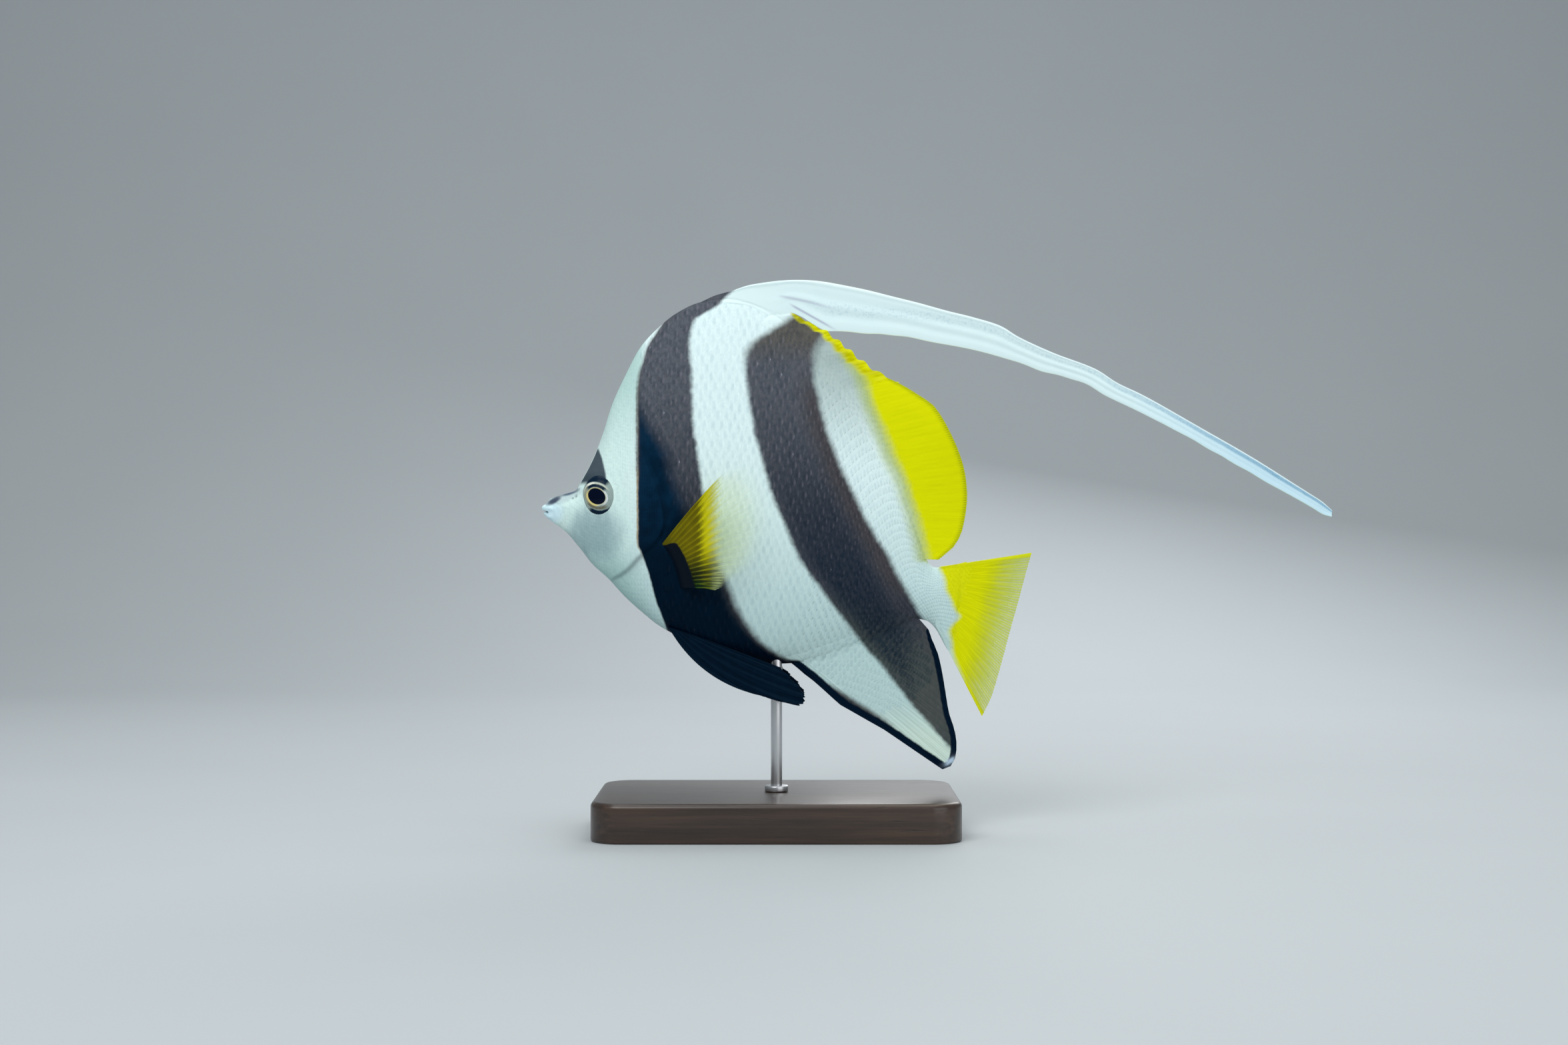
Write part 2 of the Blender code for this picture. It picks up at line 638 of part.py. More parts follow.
def make_anal():
    roots = along(ANAL_ROOT, np.linspace(0, 1, 3 + ANAL_SOFT_RAYS))
    tips = np.vstack([ANAL_SPINE_TIPS, along(ANAL_TIP_MARGIN, np.linspace(0, 1, ANAL_SOFT_RAYS))])
    columns = spread(buried(roots, tips, ROOT_BURIED), tips, bow=0.015)
    thickness = ray_thickness(*columns.shape[:2], 4.0)
    for c in (0, 2, 4):
        thickness[c] += 0.5 * (1 - np.linspace(0, 1, FIN_ROWS))
    fin = plate("anal_fin", in_plane(columns, sway(columns, 1.0, 1.0, 5)), thickness)
    cut_by_body(fin, -4.0, 68.0)
    return finish(fin, DARK_FIN, 0.5)


CAUDAL_RAYS = 17
CAUDAL_MARGIN = [
    (99.8, 108.1), (97.5, 100.1), (95.4, 92.3), (92.8, 83.2), (90.5, 75.4), (88.4, 67.6), (86.1, 59.8),
    (83.7, 52.0), (80.0, 44.4),
]
CAUDAL_ROOT_THICKNESS = 6.0


def make_caudal():
    fractions = np.linspace(0, 1, CAUDAL_RAYS)
    line = shifted(TAIL_END_LINE, GAP)
    end = along(line[1:4], fractions)
    tips = along(CAUDAL_MARGIN, fractions)
    columns = spread(end, tips, notch=0.01)
    count, rows = columns.shape[:2]
    thickness = ray_thickness(count, rows, 1.0)
    for c in range(count):
        bulge = CAUDAL_ROOT_THICKNESS * math.sin(math.pi * (c + 1) / (count + 1)) ** 0.6
        for r in range(rows):
            thickness[c, r] += (bulge - 1.0) * (1 - r / (rows - 1)) ** 2.6
    fin = plate("caudal_fin", in_plane(columns, sway(columns, 2.0, 0.6, 8)), thickness)
    return finish(fin, YELLOW_FIN, 0.5)


PECTORAL_RAYS = 16
PECTORAL_ROOT = [(-43.6, 111.6), (-40.5, 107.0), (-38.0, 101.5), (-36.0, 95.0)]
PECTORAL_MARGIN = [
    (-18.2, 140.4), (-10.4, 142.7), (-5.2, 138.6), (-2.6, 131.3), (-2.1, 120.9), (-4.4, 110.5),
    (-9.1, 102.7), (-15.6, 98.0), (-23.4, 94.0),
]
PECTORAL_INNER_Y = 9.5
PECTORAL_FLARE = math.radians(21)


def make_pectoral(name, side):
    """A fan on a short fleshy base that stands off the flank."""
    fractions = np.linspace(0, 1, PECTORAL_RAYS)
    roots = along(PECTORAL_ROOT, fractions)
    tips = along(PECTORAL_MARGIN, fractions)
    columns = spread(roots, tips, bow=0.02)
    count, rows = columns.shape[:2]
    y = np.zeros((count, rows))
    for c in range(count):
        for r in range(rows):
            reach = np.linalg.norm(columns[c, r] - columns[c, 0])
            base = 5.2 * (1 - math.exp(-reach / 2.2))
            y[c, r] = side * (PECTORAL_INNER_Y + base + reach * math.tan(PECTORAL_FLARE))
    thickness = ray_thickness(count, rows, 3.2, 3.0, 0.7)
    fin = plate(name, in_plane(columns, y), thickness)
    cut_by_body(fin, -60.0, -10.0, 24)
    return finish(fin, YELLOW_FIN, 0.5)


PELVIC_ROOTS = [(-40.8, 78.6), (-39.2, 78.2), (-37.6, 77.8), (-36.0, 77.4), (-34.4, 77.0), (-32.8, 76.6)]
PELVIC_TIPS = [(-11.5, 54.4), (9.2, 49.2), (11.2, 52.4), (8.6, 56.6), (4.8, 60.5), (1.0, 64.2)]
PELVIC_BOWS = [-0.10, -0.085, -0.06, -0.03, -0.01, 0.0]
PELVIC_INNER_Y = 4.0
PELVIC_SPLAY = math.radians(7)


def make_pelvic(name, side):
    """A strong spine in front and five rays, laid back under the belly."""
    columns = spread(buried(PELVIC_ROOTS, PELVIC_TIPS, 1.5), PELVIC_TIPS)
    count, rows = columns.shape[:2]
    bows = np.interp(np.arange(count), np.arange(0, count, 2), PELVIC_BOWS)
    y = np.zeros((count, rows))
    for c in range(count):
        chord = columns[c, -1] - columns[c, 0]
        normal = np.array([-chord[1], chord[0]])
        for r in range(rows):
            v = r / (rows - 1)
            columns[c, r] += normal * bows[c] * 4 * v * (1 - v)
            reach = np.linalg.norm(columns[c, r] - columns[c, 0])
            y[c, r] = side * (PELVIC_INNER_Y + reach * math.tan(PELVIC_SPLAY) + 1.2 * c / (count - 1))
    thickness = ray_thickness(count, rows, 2.4, 2.0)
    thickness[0] += 0.6 * (1 - np.linspace(0, 1, rows))
    fin = plate(name, in_plane(columns, y), thickness)
    cut_by_body(fin, -60.0, 20.0, 30)
    return finish(fin, DARK_FIN, 0.5)


# Stand

def make_base():
    """A flat block with round corners, a bevelled top edge and a hole for the rod."""
    rings = []
    for inset, z in [(0.8, 0.0), (0.0, 0.8), (0.0, BASE_HEIGHT - BASE_BEVEL),
                     (0.3 * BASE_BEVEL, BASE_HEIGHT - 0.3 * BASE_BEVEL), (BASE_BEVEL, BASE_HEIGHT)]:
        ring = []
        for quarter, (sx, sy) in enumerate([(1, 1), (-1, 1), (-1, -1), (1, -1)]):
            for k in range(7):
                angle = math.pi / 2 * (quarter + k / 6)
                radius = BASE_CORNER - inset
                ring.append((
                    sx * (BASE_LENGTH / 2 - BASE_CORNER) + radius * math.cos(angle),
                    sy * (BASE_WIDTH / 2 - BASE_CORNER) + radius * math.sin(angle),
                    z,
                ))
        rings.append(ring)
    base = loft("stand_base", rings)
    floor = BASE_HEIGHT - ROD_DEPTH_IN_BASE - GAP
    apply_boolean(base, "DIFFERENCE", [rod_hole("base_hole", floor, BASE_HEIGHT + 5)])
    return finish(base, WOOD_COLOUR, 0.35, angle=30)


def make_rod():
    """A round steel rod with a low collar that rests on the base."""
    top = smooth(0.0, BELLY) + ROD_DEPTH_IN_BODY
    bottom = BASE_HEIGHT - ROD_DEPTH_IN_BASE
    collar = BASE_HEIGHT + GAP
    rod = lathe("stand_rod", 0.0, [
        (ROD_RADIUS - 0.3, bottom), (ROD_RADIUS, bottom + 0.3), (ROD_RADIUS, collar),
        (COLLAR_RADIUS, collar), (COLLAR_RADIUS, collar + COLLAR_HEIGHT - 0.6),
        (COLLAR_RADIUS - 0.6, collar + COLLAR_HEIGHT), (ROD_RADIUS, collar + COLLAR_HEIGHT),
        (ROD_RADIUS, top - 0.4), (ROD_RADIUS - 0.4, top),
    ])
    return finish(rod, STEEL_COLOUR, 0.25, 1.0, 30)


for old in list(bpy.data.objects):
    bpy.data.objects.remove(old)

make_head()
make_torso()
make_tail()
make_eyes()
make_soft_dorsal()
make_spiny_dorsal()
make_banner()
make_anal()
make_caudal()
make_pectoral("pectoral_fin_left", -1)
make_pectoral("pectoral_fin_right", 1)
make_pelvic("pelvic_fin_left", -1)
make_pelvic("pelvic_fin_right", 1)
make_base()
make_rod()
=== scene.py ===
# Longfin bannerfish on a display stand: one scaled skin, fine fins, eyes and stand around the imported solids.
# The fish faces -X and its left side is -Y. Lengths are in millimetres until mm turns them into metres.
import math

import bpy
import numpy as np
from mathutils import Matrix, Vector
from mathutils.bvhtree import BVHTree


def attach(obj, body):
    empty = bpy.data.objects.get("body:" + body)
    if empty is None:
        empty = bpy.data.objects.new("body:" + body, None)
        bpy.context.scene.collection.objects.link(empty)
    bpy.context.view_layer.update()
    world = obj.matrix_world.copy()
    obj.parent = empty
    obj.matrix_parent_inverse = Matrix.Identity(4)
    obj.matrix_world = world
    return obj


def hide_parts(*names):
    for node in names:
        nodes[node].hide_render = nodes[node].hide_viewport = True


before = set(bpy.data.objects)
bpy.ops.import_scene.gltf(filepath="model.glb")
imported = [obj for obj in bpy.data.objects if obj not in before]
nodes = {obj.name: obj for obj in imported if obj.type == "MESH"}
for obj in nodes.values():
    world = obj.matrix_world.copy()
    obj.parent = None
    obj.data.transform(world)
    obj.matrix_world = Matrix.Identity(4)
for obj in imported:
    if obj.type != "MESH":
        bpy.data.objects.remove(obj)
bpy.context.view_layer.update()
mm = 0.001
view = {"x": 2.9, "height": 119.9, "away": 900.0, "lens": 52.98}  # where the picture is taken from
print("frame loaded:", len(nodes), "nodes")

# Outlines of the body along its length, as in the solids: (x, value)
bodyShape = {
    "back": [
        (-90.0, 127.2), (-88.0, 129.4), (-83.0, 131.0), (-78.5, 132.4), (-75.7, 137.0), (-71.8, 144.5),
        (-68.0, 154.0), (-64.2, 166.0), (-58.5, 178.5), (-53.3, 188.2), (-46.8, 195.5), (-39.0, 201.8),
        (-30.0, 206.0), (-19.5, 207.6), (-11.7, 206.2), (-3.9, 203.0), (3.9, 197.9), (14.3, 188.0),
        (24.7, 176.0), (35.1, 160.4), (45.5, 140.4), (53.8, 118.3), (58.0, 106.5), (61.5, 102.6),
        (66.0, 103.0), (74.0, 104.8),
    ],
    "belly": [
        (-90.0, 122.6), (-87.6, 120.2), (-82.0, 116.0), (-76.7, 109.8), (-71.5, 103.2), (-65.8, 98.0),
        (-59.0, 90.6), (-52.8, 85.0), (-45.5, 79.2), (-35.1, 73.8), (-27.3, 70.6), (-16.9, 67.6),
        (-6.5, 65.6), (1.3, 64.6), (9.1, 65.0), (19.5, 67.6), (35.1, 73.6), (45.5, 78.0), (54.9, 82.0),
        (58.5, 81.4), (62.0, 78.2), (66.3, 70.6), (70.0, 65.5), (74.0, 62.0),
    ],
    "widestHeight": [
        (-91.0, 125.0), (-82.0, 125.3), (-69.0, 127.4), (-56.0, 126.0), (-43.0, 122.2), (-17.0, 117.0),
        (9.0, 111.8), (35.0, 102.7), (61.0, 91.5), (74.0, 84.0),
    ],
    "halfWidth": [
        (-91.0, 1.7), (-87.0, 3.3), (-82.0, 5.2), (-76.7, 7.4), (-69.0, 9.7), (-61.0, 11.2),
        (-53.0, 12.4), (-43.0, 13.1), (-30.0, 13.2), (-17.0, 12.7), (-4.0, 11.7), (9.0, 10.4),
        (22.0, 8.9), (35.0, 7.2), (48.0, 5.4), (58.0, 4.0), (64.0, 3.2), (69.0, 2.0), (73.5, 0.7),
    ],
    "backPower": 1.5,
    "bellyPower": 0.95,
    "keelPower": 1.5,  # of the belly over the anal fin
    "keel": (-14.0, 18.0),
    "coatDepth": 0.25,  # how far the skin lies inside the solids
    "snoutTip": (-88.6, 2.6, 2.7),  # where it starts, its length and how blunt it is
    "tailLean": 0.17,  # of the tail's end, more with the height over its middle
    "tailMiddle": 89.0,
    "tailEnd": 71.5,
    "closing": 1.2,
}

# Edges of the markings: (height, x)
markingEdges = {
    "firstFront": [
        (63.7, -40.3), (75.1, -41.9), (79.3, -43.2), (89.7, -47.1), (100.1, -49.9), (108.4, -52.8),
        (111.8, -54.1), (126.1, -54.1), (152.1, -54.1), (167.7, -54.1), (178.1, -53.3), (183.3, -51.7),
        (188.5, -50.2), (193.7, -46.8), (201.5, -41.9),
    ],
    "firstRear": [
        (25.5, 63.7), (32.5, 55.4), (37.7, 48.1), (42.9, 41.9), (48.1, 34.1), (53.3, 26.0), (58.5, 17.4),
        (64.2, 9.1), (68.9, 0.0), (74.1, -6.5), (79.3, -10.4), (84.5, -13.8), (94.9, -18.7),
        (102.7, -22.1), (110.5, -24.7), (120.9, -26.8), (136.5, -29.4), (152.1, -31.7), (162.5, -32.5),
        (183.3, -33.5), (191.1, -33.8), (195.8, -33.3), (198.9, -31.7), (201.5, -28.1), (204.1, -23.4),
        (206.7, -20.8), (213.2, -14.3),
    ],
    "firstNavy": [
        (63.7, 9.1), (74.1, -7.8), (84.5, -16.4), (94.9, -21.3), (102.7, -24.2), (113.1, -27.8),
        (120.9, -33.5), (128.7, -37.2), (136.5, -40.8), (146.9, -43.0), (157.3, -49.4), (172.0, -58.0),
    ],
    "secondFront": [
        (27.3, 71.5), (32.5, 67.1), (42.9, 58.0), (53.3, 49.4), (63.7, 41.1), (74.1, 32.5), (84.5, 24.7),
        (94.9, 16.4), (104.0, 9.9), (115.7, 4.4), (126.1, 0.0), (136.5, -3.6), (146.9, -6.5),
        (157.3, -9.1), (167.7, -10.9), (178.1, -12.2), (183.3, -12.4), (188.5, -10.9), (191.1, -8.2),
        (193.7, -4.0), (196.3, 0.0), (198.9, 4.0), (201.5, 8.0),
    ],
    "secondRear": [
        (76.7, 61.1), (84.5, 55.4), (94.9, 49.9), (105.3, 44.2), (115.7, 38.0), (126.1, 32.5),
        (136.5, 27.6), (146.9, 23.1), (157.3, 19.0), (167.7, 16.6), (179.9, 14.8), (187.9, 15.8),
        (191.9, 18.5), (195.5, 22.0), (201.5, 28.0),
    ],
    "dorsalYellow": [
        (100.1, 61.6), (105.3, 59.3), (115.7, 56.9), (126.1, 53.8), (136.5, 50.2), (146.9, 45.5),
        (157.3, 41.6), (167.7, 37.2), (178.1, 33.8), (183.3, 29.9), (193.7, 25.2),
    ],
    "tailYellow": [
        (58.5, 73.1), (66.3, 69.7), (72.8, 68.4), (78.0, 67.6), (80.1, 68.9), (83.2, 71.5), (85.8, 69.7),
        (89.7, 68.1), (93.6, 66.3), (97.5, 65.8), (102.2, 63.7), (107.9, 62.1),
    ],
    "eyeBarRear": [
        (133.0, -66.3), (137.5, -66.5), (140.9, -67.1), (144.3, -67.9), (147.9, -69.2), (151.5, -71.0),
    ],
}


# Curves

def smoothLine(x, points):
    # the value at x on a smooth line through the points, which doesn't overshoot them
    xs, vs = np.array(points, float).T
    x = np.clip(np.asarray(x, float), xs[0], xs[-1])
    steps = np.diff(xs)
    slopes = np.diff(vs) / steps
    tangents = np.concatenate([slopes[:1], np.zeros(len(xs) - 2), slopes[-1:]])
    same = slopes[:-1] * slopes[1:] > 0
    total = np.where(same, slopes[:-1] + slopes[1:], 1.0)
    tangents[1:-1] = np.where(same, 2 * slopes[:-1] * slopes[1:] / total, 0.0)
    i = np.clip(np.searchsorted(xs, x) - 1, 0, len(steps) - 1)
    t = (x - xs[i]) / steps[i]
    start = (1 + 2 * t) * (1 - t) ** 2 * vs[i] + t * (1 - t) ** 2 * steps[i] * tangents[i]
    end = t * t * (3 - 2 * t) * vs[i + 1] + t * t * (t - 1) * steps[i] * tangents[i + 1]
    return start + end


def ramp(low, high, x):
    # rises smoothly from 0 at low to 1 at high
    t = np.clip((np.asarray(x, float) - low) / (high - low), 0.0, 1.0)
    return t * t * (3 - 2 * t)


def bell(distance, width):
    return np.exp(-(np.asarray(distance) / width) ** 2)


def alongLine(points, shares):
    # points at these shares of the length of a smooth line through the points
    line = np.array(points, float)
    padded = np.vstack([2 * line[0] - line[1], line, 2 * line[-1] - line[-2]])
    fine = []
    for i in range(len(line) - 1):
        a, b, c, d = padded[i : i + 4]
        for t in np.linspace(0, 1, 12, endpoint=False):
            curve = 2 * b + (c - a) * t + (2 * a - 5 * b + 4 * c - d) * t**2 + (3 * b - a - 3 * c + d) * t**3
            fine.append(curve / 2)
    fine = np.array(fine + [line[-1]])
    lengths = np.concatenate([[0], np.cumsum(np.linalg.norm(np.diff(fine, axis=0), axis=1))])
    wanted = np.asarray(shares) * lengths[-1]
    return np.stack([np.interp(wanted, lengths, fine[:, k]) for k in range(line.shape[1])], axis=-1)


def nearestOn(points, line):
    # for each point: its distance to the line, the nearest point there, and its side (positive on the left)
    best = np.full(len(points), 1e9)
    spot = np.zeros_like(points)
    side = np.ones(len(points))
    for a, b in zip(line[:-1], line[1:]):
        t = np.clip((points - a) @ (b - a) / max((b - a) @ (b - a), 1e-9), 0, 1)
        near = a + t[:, None] * (b - a)
        distance = np.linalg.norm(points - near, axis=1)
        closer = distance < best
        best[closer] = distance[closer]
        spot[closer] = near[closer]
        if points.shape[1] == 2:
            turn = (b - a)[0] * (points - a)[:, 1] - (b - a)[1] * (points - a)[:, 0]
            side[closer] = np.where(turn[closer] >= 0, 1.0, -1.0)
    return best, spot, side


# Meshes

def readPoints(piece):
    values = np.zeros(len(piece.data.vertices) * 3, np.float32)
    piece.data.vertices.foreach_get("co", values)
    return values.reshape(-1, 3).astype(float) / mm


def treeOf(name):
    # the faces of a piece, to find its surface along a line
    piece = bpy.data.objects[name]
    faces = [tuple(face.vertices) for face in piece.data.polygons]
    return BVHTree.FromPolygons([tuple(point) for point in readPoints(piece)], faces)


def writePoints(piece, points):
    piece.data.vertices.foreach_set("co", (np.asarray(points) * mm).astype(np.float32).ravel())
    piece.data.update()


def pick(piece):
    bpy.ops.object.select_all(action="DESELECT")
    piece.select_set(True)
    bpy.context.view_layer.objects.active = piece


def named(name):
    piece = bpy.context.object
    piece.name = piece.data.name = name
    return piece


def applyModifiers(piece):
    pick(piece)
    for modifier in list(piece.modifiers):
        bpy.ops.object.modifier_apply(modifier=modifier.name)


def shapedGrid(name, points, mapName="finMap"):
    # a grid primitive whose points take the places in an array of shape (across, along, 3)
    across, along = points.shape[0] - 1, points.shape[1] - 1
    bpy.ops.object.select_all(action="DESELECT")
    bpy.ops.mesh.primitive_grid_add(x_subdivisions=across, y_subdivisions=along, size=1.0 * mm)
    piece = named(name)
    flat = readPoints(piece)
    i = np.round((flat[:, 0] + 0.5) * across).astype(int)
    j = np.round((flat[:, 1] + 0.5) * along).astype(int)
    writePoints(piece, points[i, j])
    piece.data.uv_layers[0].name = mapName
    return piece, i, j


def tidyMesh(piece, merge=0.0, angle=40):
    pick(piece)
    bpy.ops.object.mode_set(mode="EDIT")
    bpy.ops.mesh.select_all(action="SELECT")
    if merge:
        bpy.ops.mesh.remove_doubles(threshold=merge * mm)
    bpy.ops.mesh.normals_make_consistent(inside=False)
    bpy.ops.object.mode_set(mode="OBJECT")
    bpy.ops.object.shade_smooth_by_angle(angle=math.radians(angle))


def thickened(piece, half):
    # gives a sheet its thickness, from half the thickness at each point
    group = piece.vertex_groups.new(name="thickness")
    most = float(half.max())
    for k, share in enumerate(half / most):
        group.add([k], float(share), "REPLACE")
    wall = piece.modifiers.new("thickness", "SOLIDIFY")
    wall.thickness = 2 * most * mm
    wall.offset = 0.0
    wall.vertex_group = "thickness"
    applyModifiers(piece)
    piece.vertex_groups.clear()


def painted(piece, material):
    piece.data.materials.clear()
    piece.data.materials.append(material)
    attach(piece, "root")
    return piece


# Shaders

class Wire:
    # one output of a node, with the operators that the formulas use
    def __init__(self, paint, socket):
        self.paint, self.socket = paint, socket

    def __add__(self, other):
        return self.paint.maths("ADD", self, other)

    def __sub__(self, other):
        return self.paint.maths("SUBTRACT", self, other)

    def __rsub__(self, other):
        return self.paint.maths("SUBTRACT", other, self)

    def __mul__(self, other):
        return self.paint.maths("MULTIPLY", self, other)

    def __truediv__(self, other):
        return self.paint.maths("DIVIDE", self, other)

    def __rtruediv__(self, other):
        return self.paint.maths("DIVIDE", other, self)

    def __pow__(self, other):
        return self.paint.maths("POWER", self, other)

    def __abs__(self):
        return self.paint.maths("ABSOLUTE", self)

    __radd__ = __add__
    __rmul__ = __mul__


class Paint:
    # a material and the few ways to add to it
    def __init__(self, name, fixed):
        self.material = bpy.data.materials.new(name)
        self.material.use_nodes = True
        self.tree = self.material.node_tree
        self.shader = self.tree.nodes["Principled BSDF"]
        for socket, value in fixed.items():
            self.plug(self.shader.inputs[socket], value)
        self.kept = {}

    def plug(self, socket, value):
        if isinstance(value, Wire):
            self.tree.links.new(value.socket, socket)
        elif isinstance(value, tuple) and len(value) == 3 and len(socket.default_value) == 4:
            socket.default_value = (*value, 1.0)
        else:
            socket.default_value = value

    def node(self, kind, settings=None, sockets=None, output=0):
        made = self.tree.nodes.new(kind)
        for key, value in (settings or {}).items():
            if key == "curve":
                points = made.mapping.curves[0].points
                for k, spot in enumerate(value):
                    if k < 2:
                        points[k].location = spot
                    else:
                        points.new(*spot)
                for point in points:
                    point.handle_type = "AUTO_CLAMPED"
                made.mapping.update()
            elif key == "stops":
                ramps = made.color_ramp.elements
                for k, (place, colour) in enumerate(value):
                    stop = ramps[k] if k < 2 else ramps.new(place)
                    stop.position = place
                    stop.color = (*colour, 1.0)
            else:
                setattr(made, key, value)
        for key, value in (sockets or {}).items():
            self.plug(made.inputs[key], value)
        return Wire(self, made.outputs[output])

    def maths(self, operation, *values):
        return self.node("ShaderNodeMath", {"operation": operation}, dict(enumerate(values)))

    def blend(self, share, first, second, how="MIX"):
        settings = {"data_type": "RGBA", "blend_type": how}
        return self.node("ShaderNodeMix", settings, {0: share, 6: first, 7: second}, 2)

    def tinted(self, share, colour, factors):
        # the colour multiplied by the factors, by this share
        return self.blend(share, colour, self.blend(1.0, colour, factors, "MULTIPLY"))

    def rise(self, value, low, high):
        sockets = {"Value": value, "From Min": low, "From Max": high}
        return self.node("ShaderNodeMapRange", {"interpolation_type": "SMOOTHSTEP"}, sockets)

    def place(self):
        # x, y and z in millimetres
        if "place" not in self.kept:
            self.kept["object"] = self.node("ShaderNodeTexCoord", {}, {}, "Object")
            split = [self.node("ShaderNodeSeparateXYZ", {}, {0: self.kept["object"]}, k) for k in range(3)]
            self.kept["place"] = [part * 1000 for part in split]
        return self.kept["place"]

    def noise(self, size, detail=2.0, stretch=(1.0, 1.0, 1.0), vector=None, roughness=0.5, twist=0.0):
        # size is in millimetres, and stretch draws the pattern out along an axis
        self.place()
        scale = tuple(1.0 / part for part in stretch)
        sockets = {"Vector": vector or self.kept["object"], "Scale": scale, "Rotation": (0.0, twist, 0.0)}
        mapped = self.node("ShaderNodeMapping", {}, sockets)
        sockets = {"Vector": mapped, "Scale": 1000.0 / size, "Detail": detail, "Roughness": roughness}
        return self.node("ShaderNodeTexNoise", {}, sockets)

    def lineAt(self, name, height):
        # the x of a marking's edge at this height
        line = markingEdges[name]
        low, high = line[0][0], line[-1][0]
        share = self.node("ShaderNodeMapRange", {}, {"Value": height, "From Min": low, "From Max": high})
        curve = [((z - low) / (high - low), (x + 100) / 200) for z, x in line]
        return self.node("ShaderNodeFloatCurve", {"curve": curve}, {"Value": share}) * 200 - 100

    def mapAt(self, name):
        spot = self.node("ShaderNodeUVMap", {"uv_map": name})
        return [self.node("ShaderNodeSeparateXYZ", {}, {0: spot}, k) for k in range(2)]

    def attribute(self, name):
        return self.node("ShaderNodeAttribute", {"attribute_name": name}, {}, "Fac")

    def finish(self, colour, roughness=None, height=None, depth=0.1, alpha=None):
        self.plug(self.shader.inputs["Base Color"], colour)
        if roughness is not None:
            self.plug(self.shader.inputs["Roughness"], roughness)
        if alpha is not None:
            self.plug(self.shader.inputs["Alpha"], alpha)
        if height is not None:
            sockets = {"Height": height, "Distance": depth * mm, "Strength": 1.0}
            self.plug(self.shader.inputs["Normal"], self.node("ShaderNodeBump", {}, sockets))
        return self.material


skinColours = {
    "white": (0.76, 0.92, 0.92),
    # painted shade: the white low on the body and the breast
    "whiteInShade": (0.52, 0.70, 0.69),
    "headWhite": (0.68, 0.88, 0.83),
    "breast": (0.31, 0.51, 0.49),
    # painted shade on the cheek under the eye
    "cheek": (0.20, 0.32, 0.36),
    "lips": (0.64, 0.86, 0.94),
    "bandHigh": (0.104, 0.112, 0.130),
    "bandLow": (0.046, 0.050, 0.064),
    "bandTop": (0.118, 0.112, 0.102),
    "bandBrown": (0.070, 0.060, 0.062),
    "bandFin": (0.058, 0.074, 0.072),
    "bandDeep": (0.010, 0.020, 0.032),
    "bandNavy": (0.0015, 0.011, 0.027),
    "bandPale": (0.130, 0.122, 0.148),
    "navy": (0.0003, 0.0040, 0.0125),
    "navyLight": (0.0016, 0.0185, 0.0470),
    "fringe": (0.34, 0.19, 0.035),
    "fringeBrown": (0.085, 0.058, 0.048),
    "rearBrown": (0.045, 0.042, 0.050),
    "yellow": (0.72, 0.745, 0.001),
    "yellowShade": (0.44, 0.54, 0.16),
    "snoutFirst": (0.060, 0.078, 0.120),
    "snoutSecond": (0.050, 0.085, 0.140),
    "snoutHaze": (0.30, 0.36, 0.42),
    "eyeBar": (0.040, 0.055, 0.080),
    "nape": (0.44, 0.66, 0.62),
    "eyeBarLow": (0.012, 0.026, 0.045),
}

# dark patches on the snout: x, height, half length, half thickness, rise along x, strength, colour
snoutPatches = [
    (-82.5, 130.2, 6.5, 2.6, 0.35, 0.50, "snoutHaze"),
    (-86.8, 128.5, 3.0, 1.35, 0.50, 1.0, "snoutFirst"),
    (-80.7, 131.7, 3.7, 1.15, 0.30, 0.95, "snoutSecond"),
]


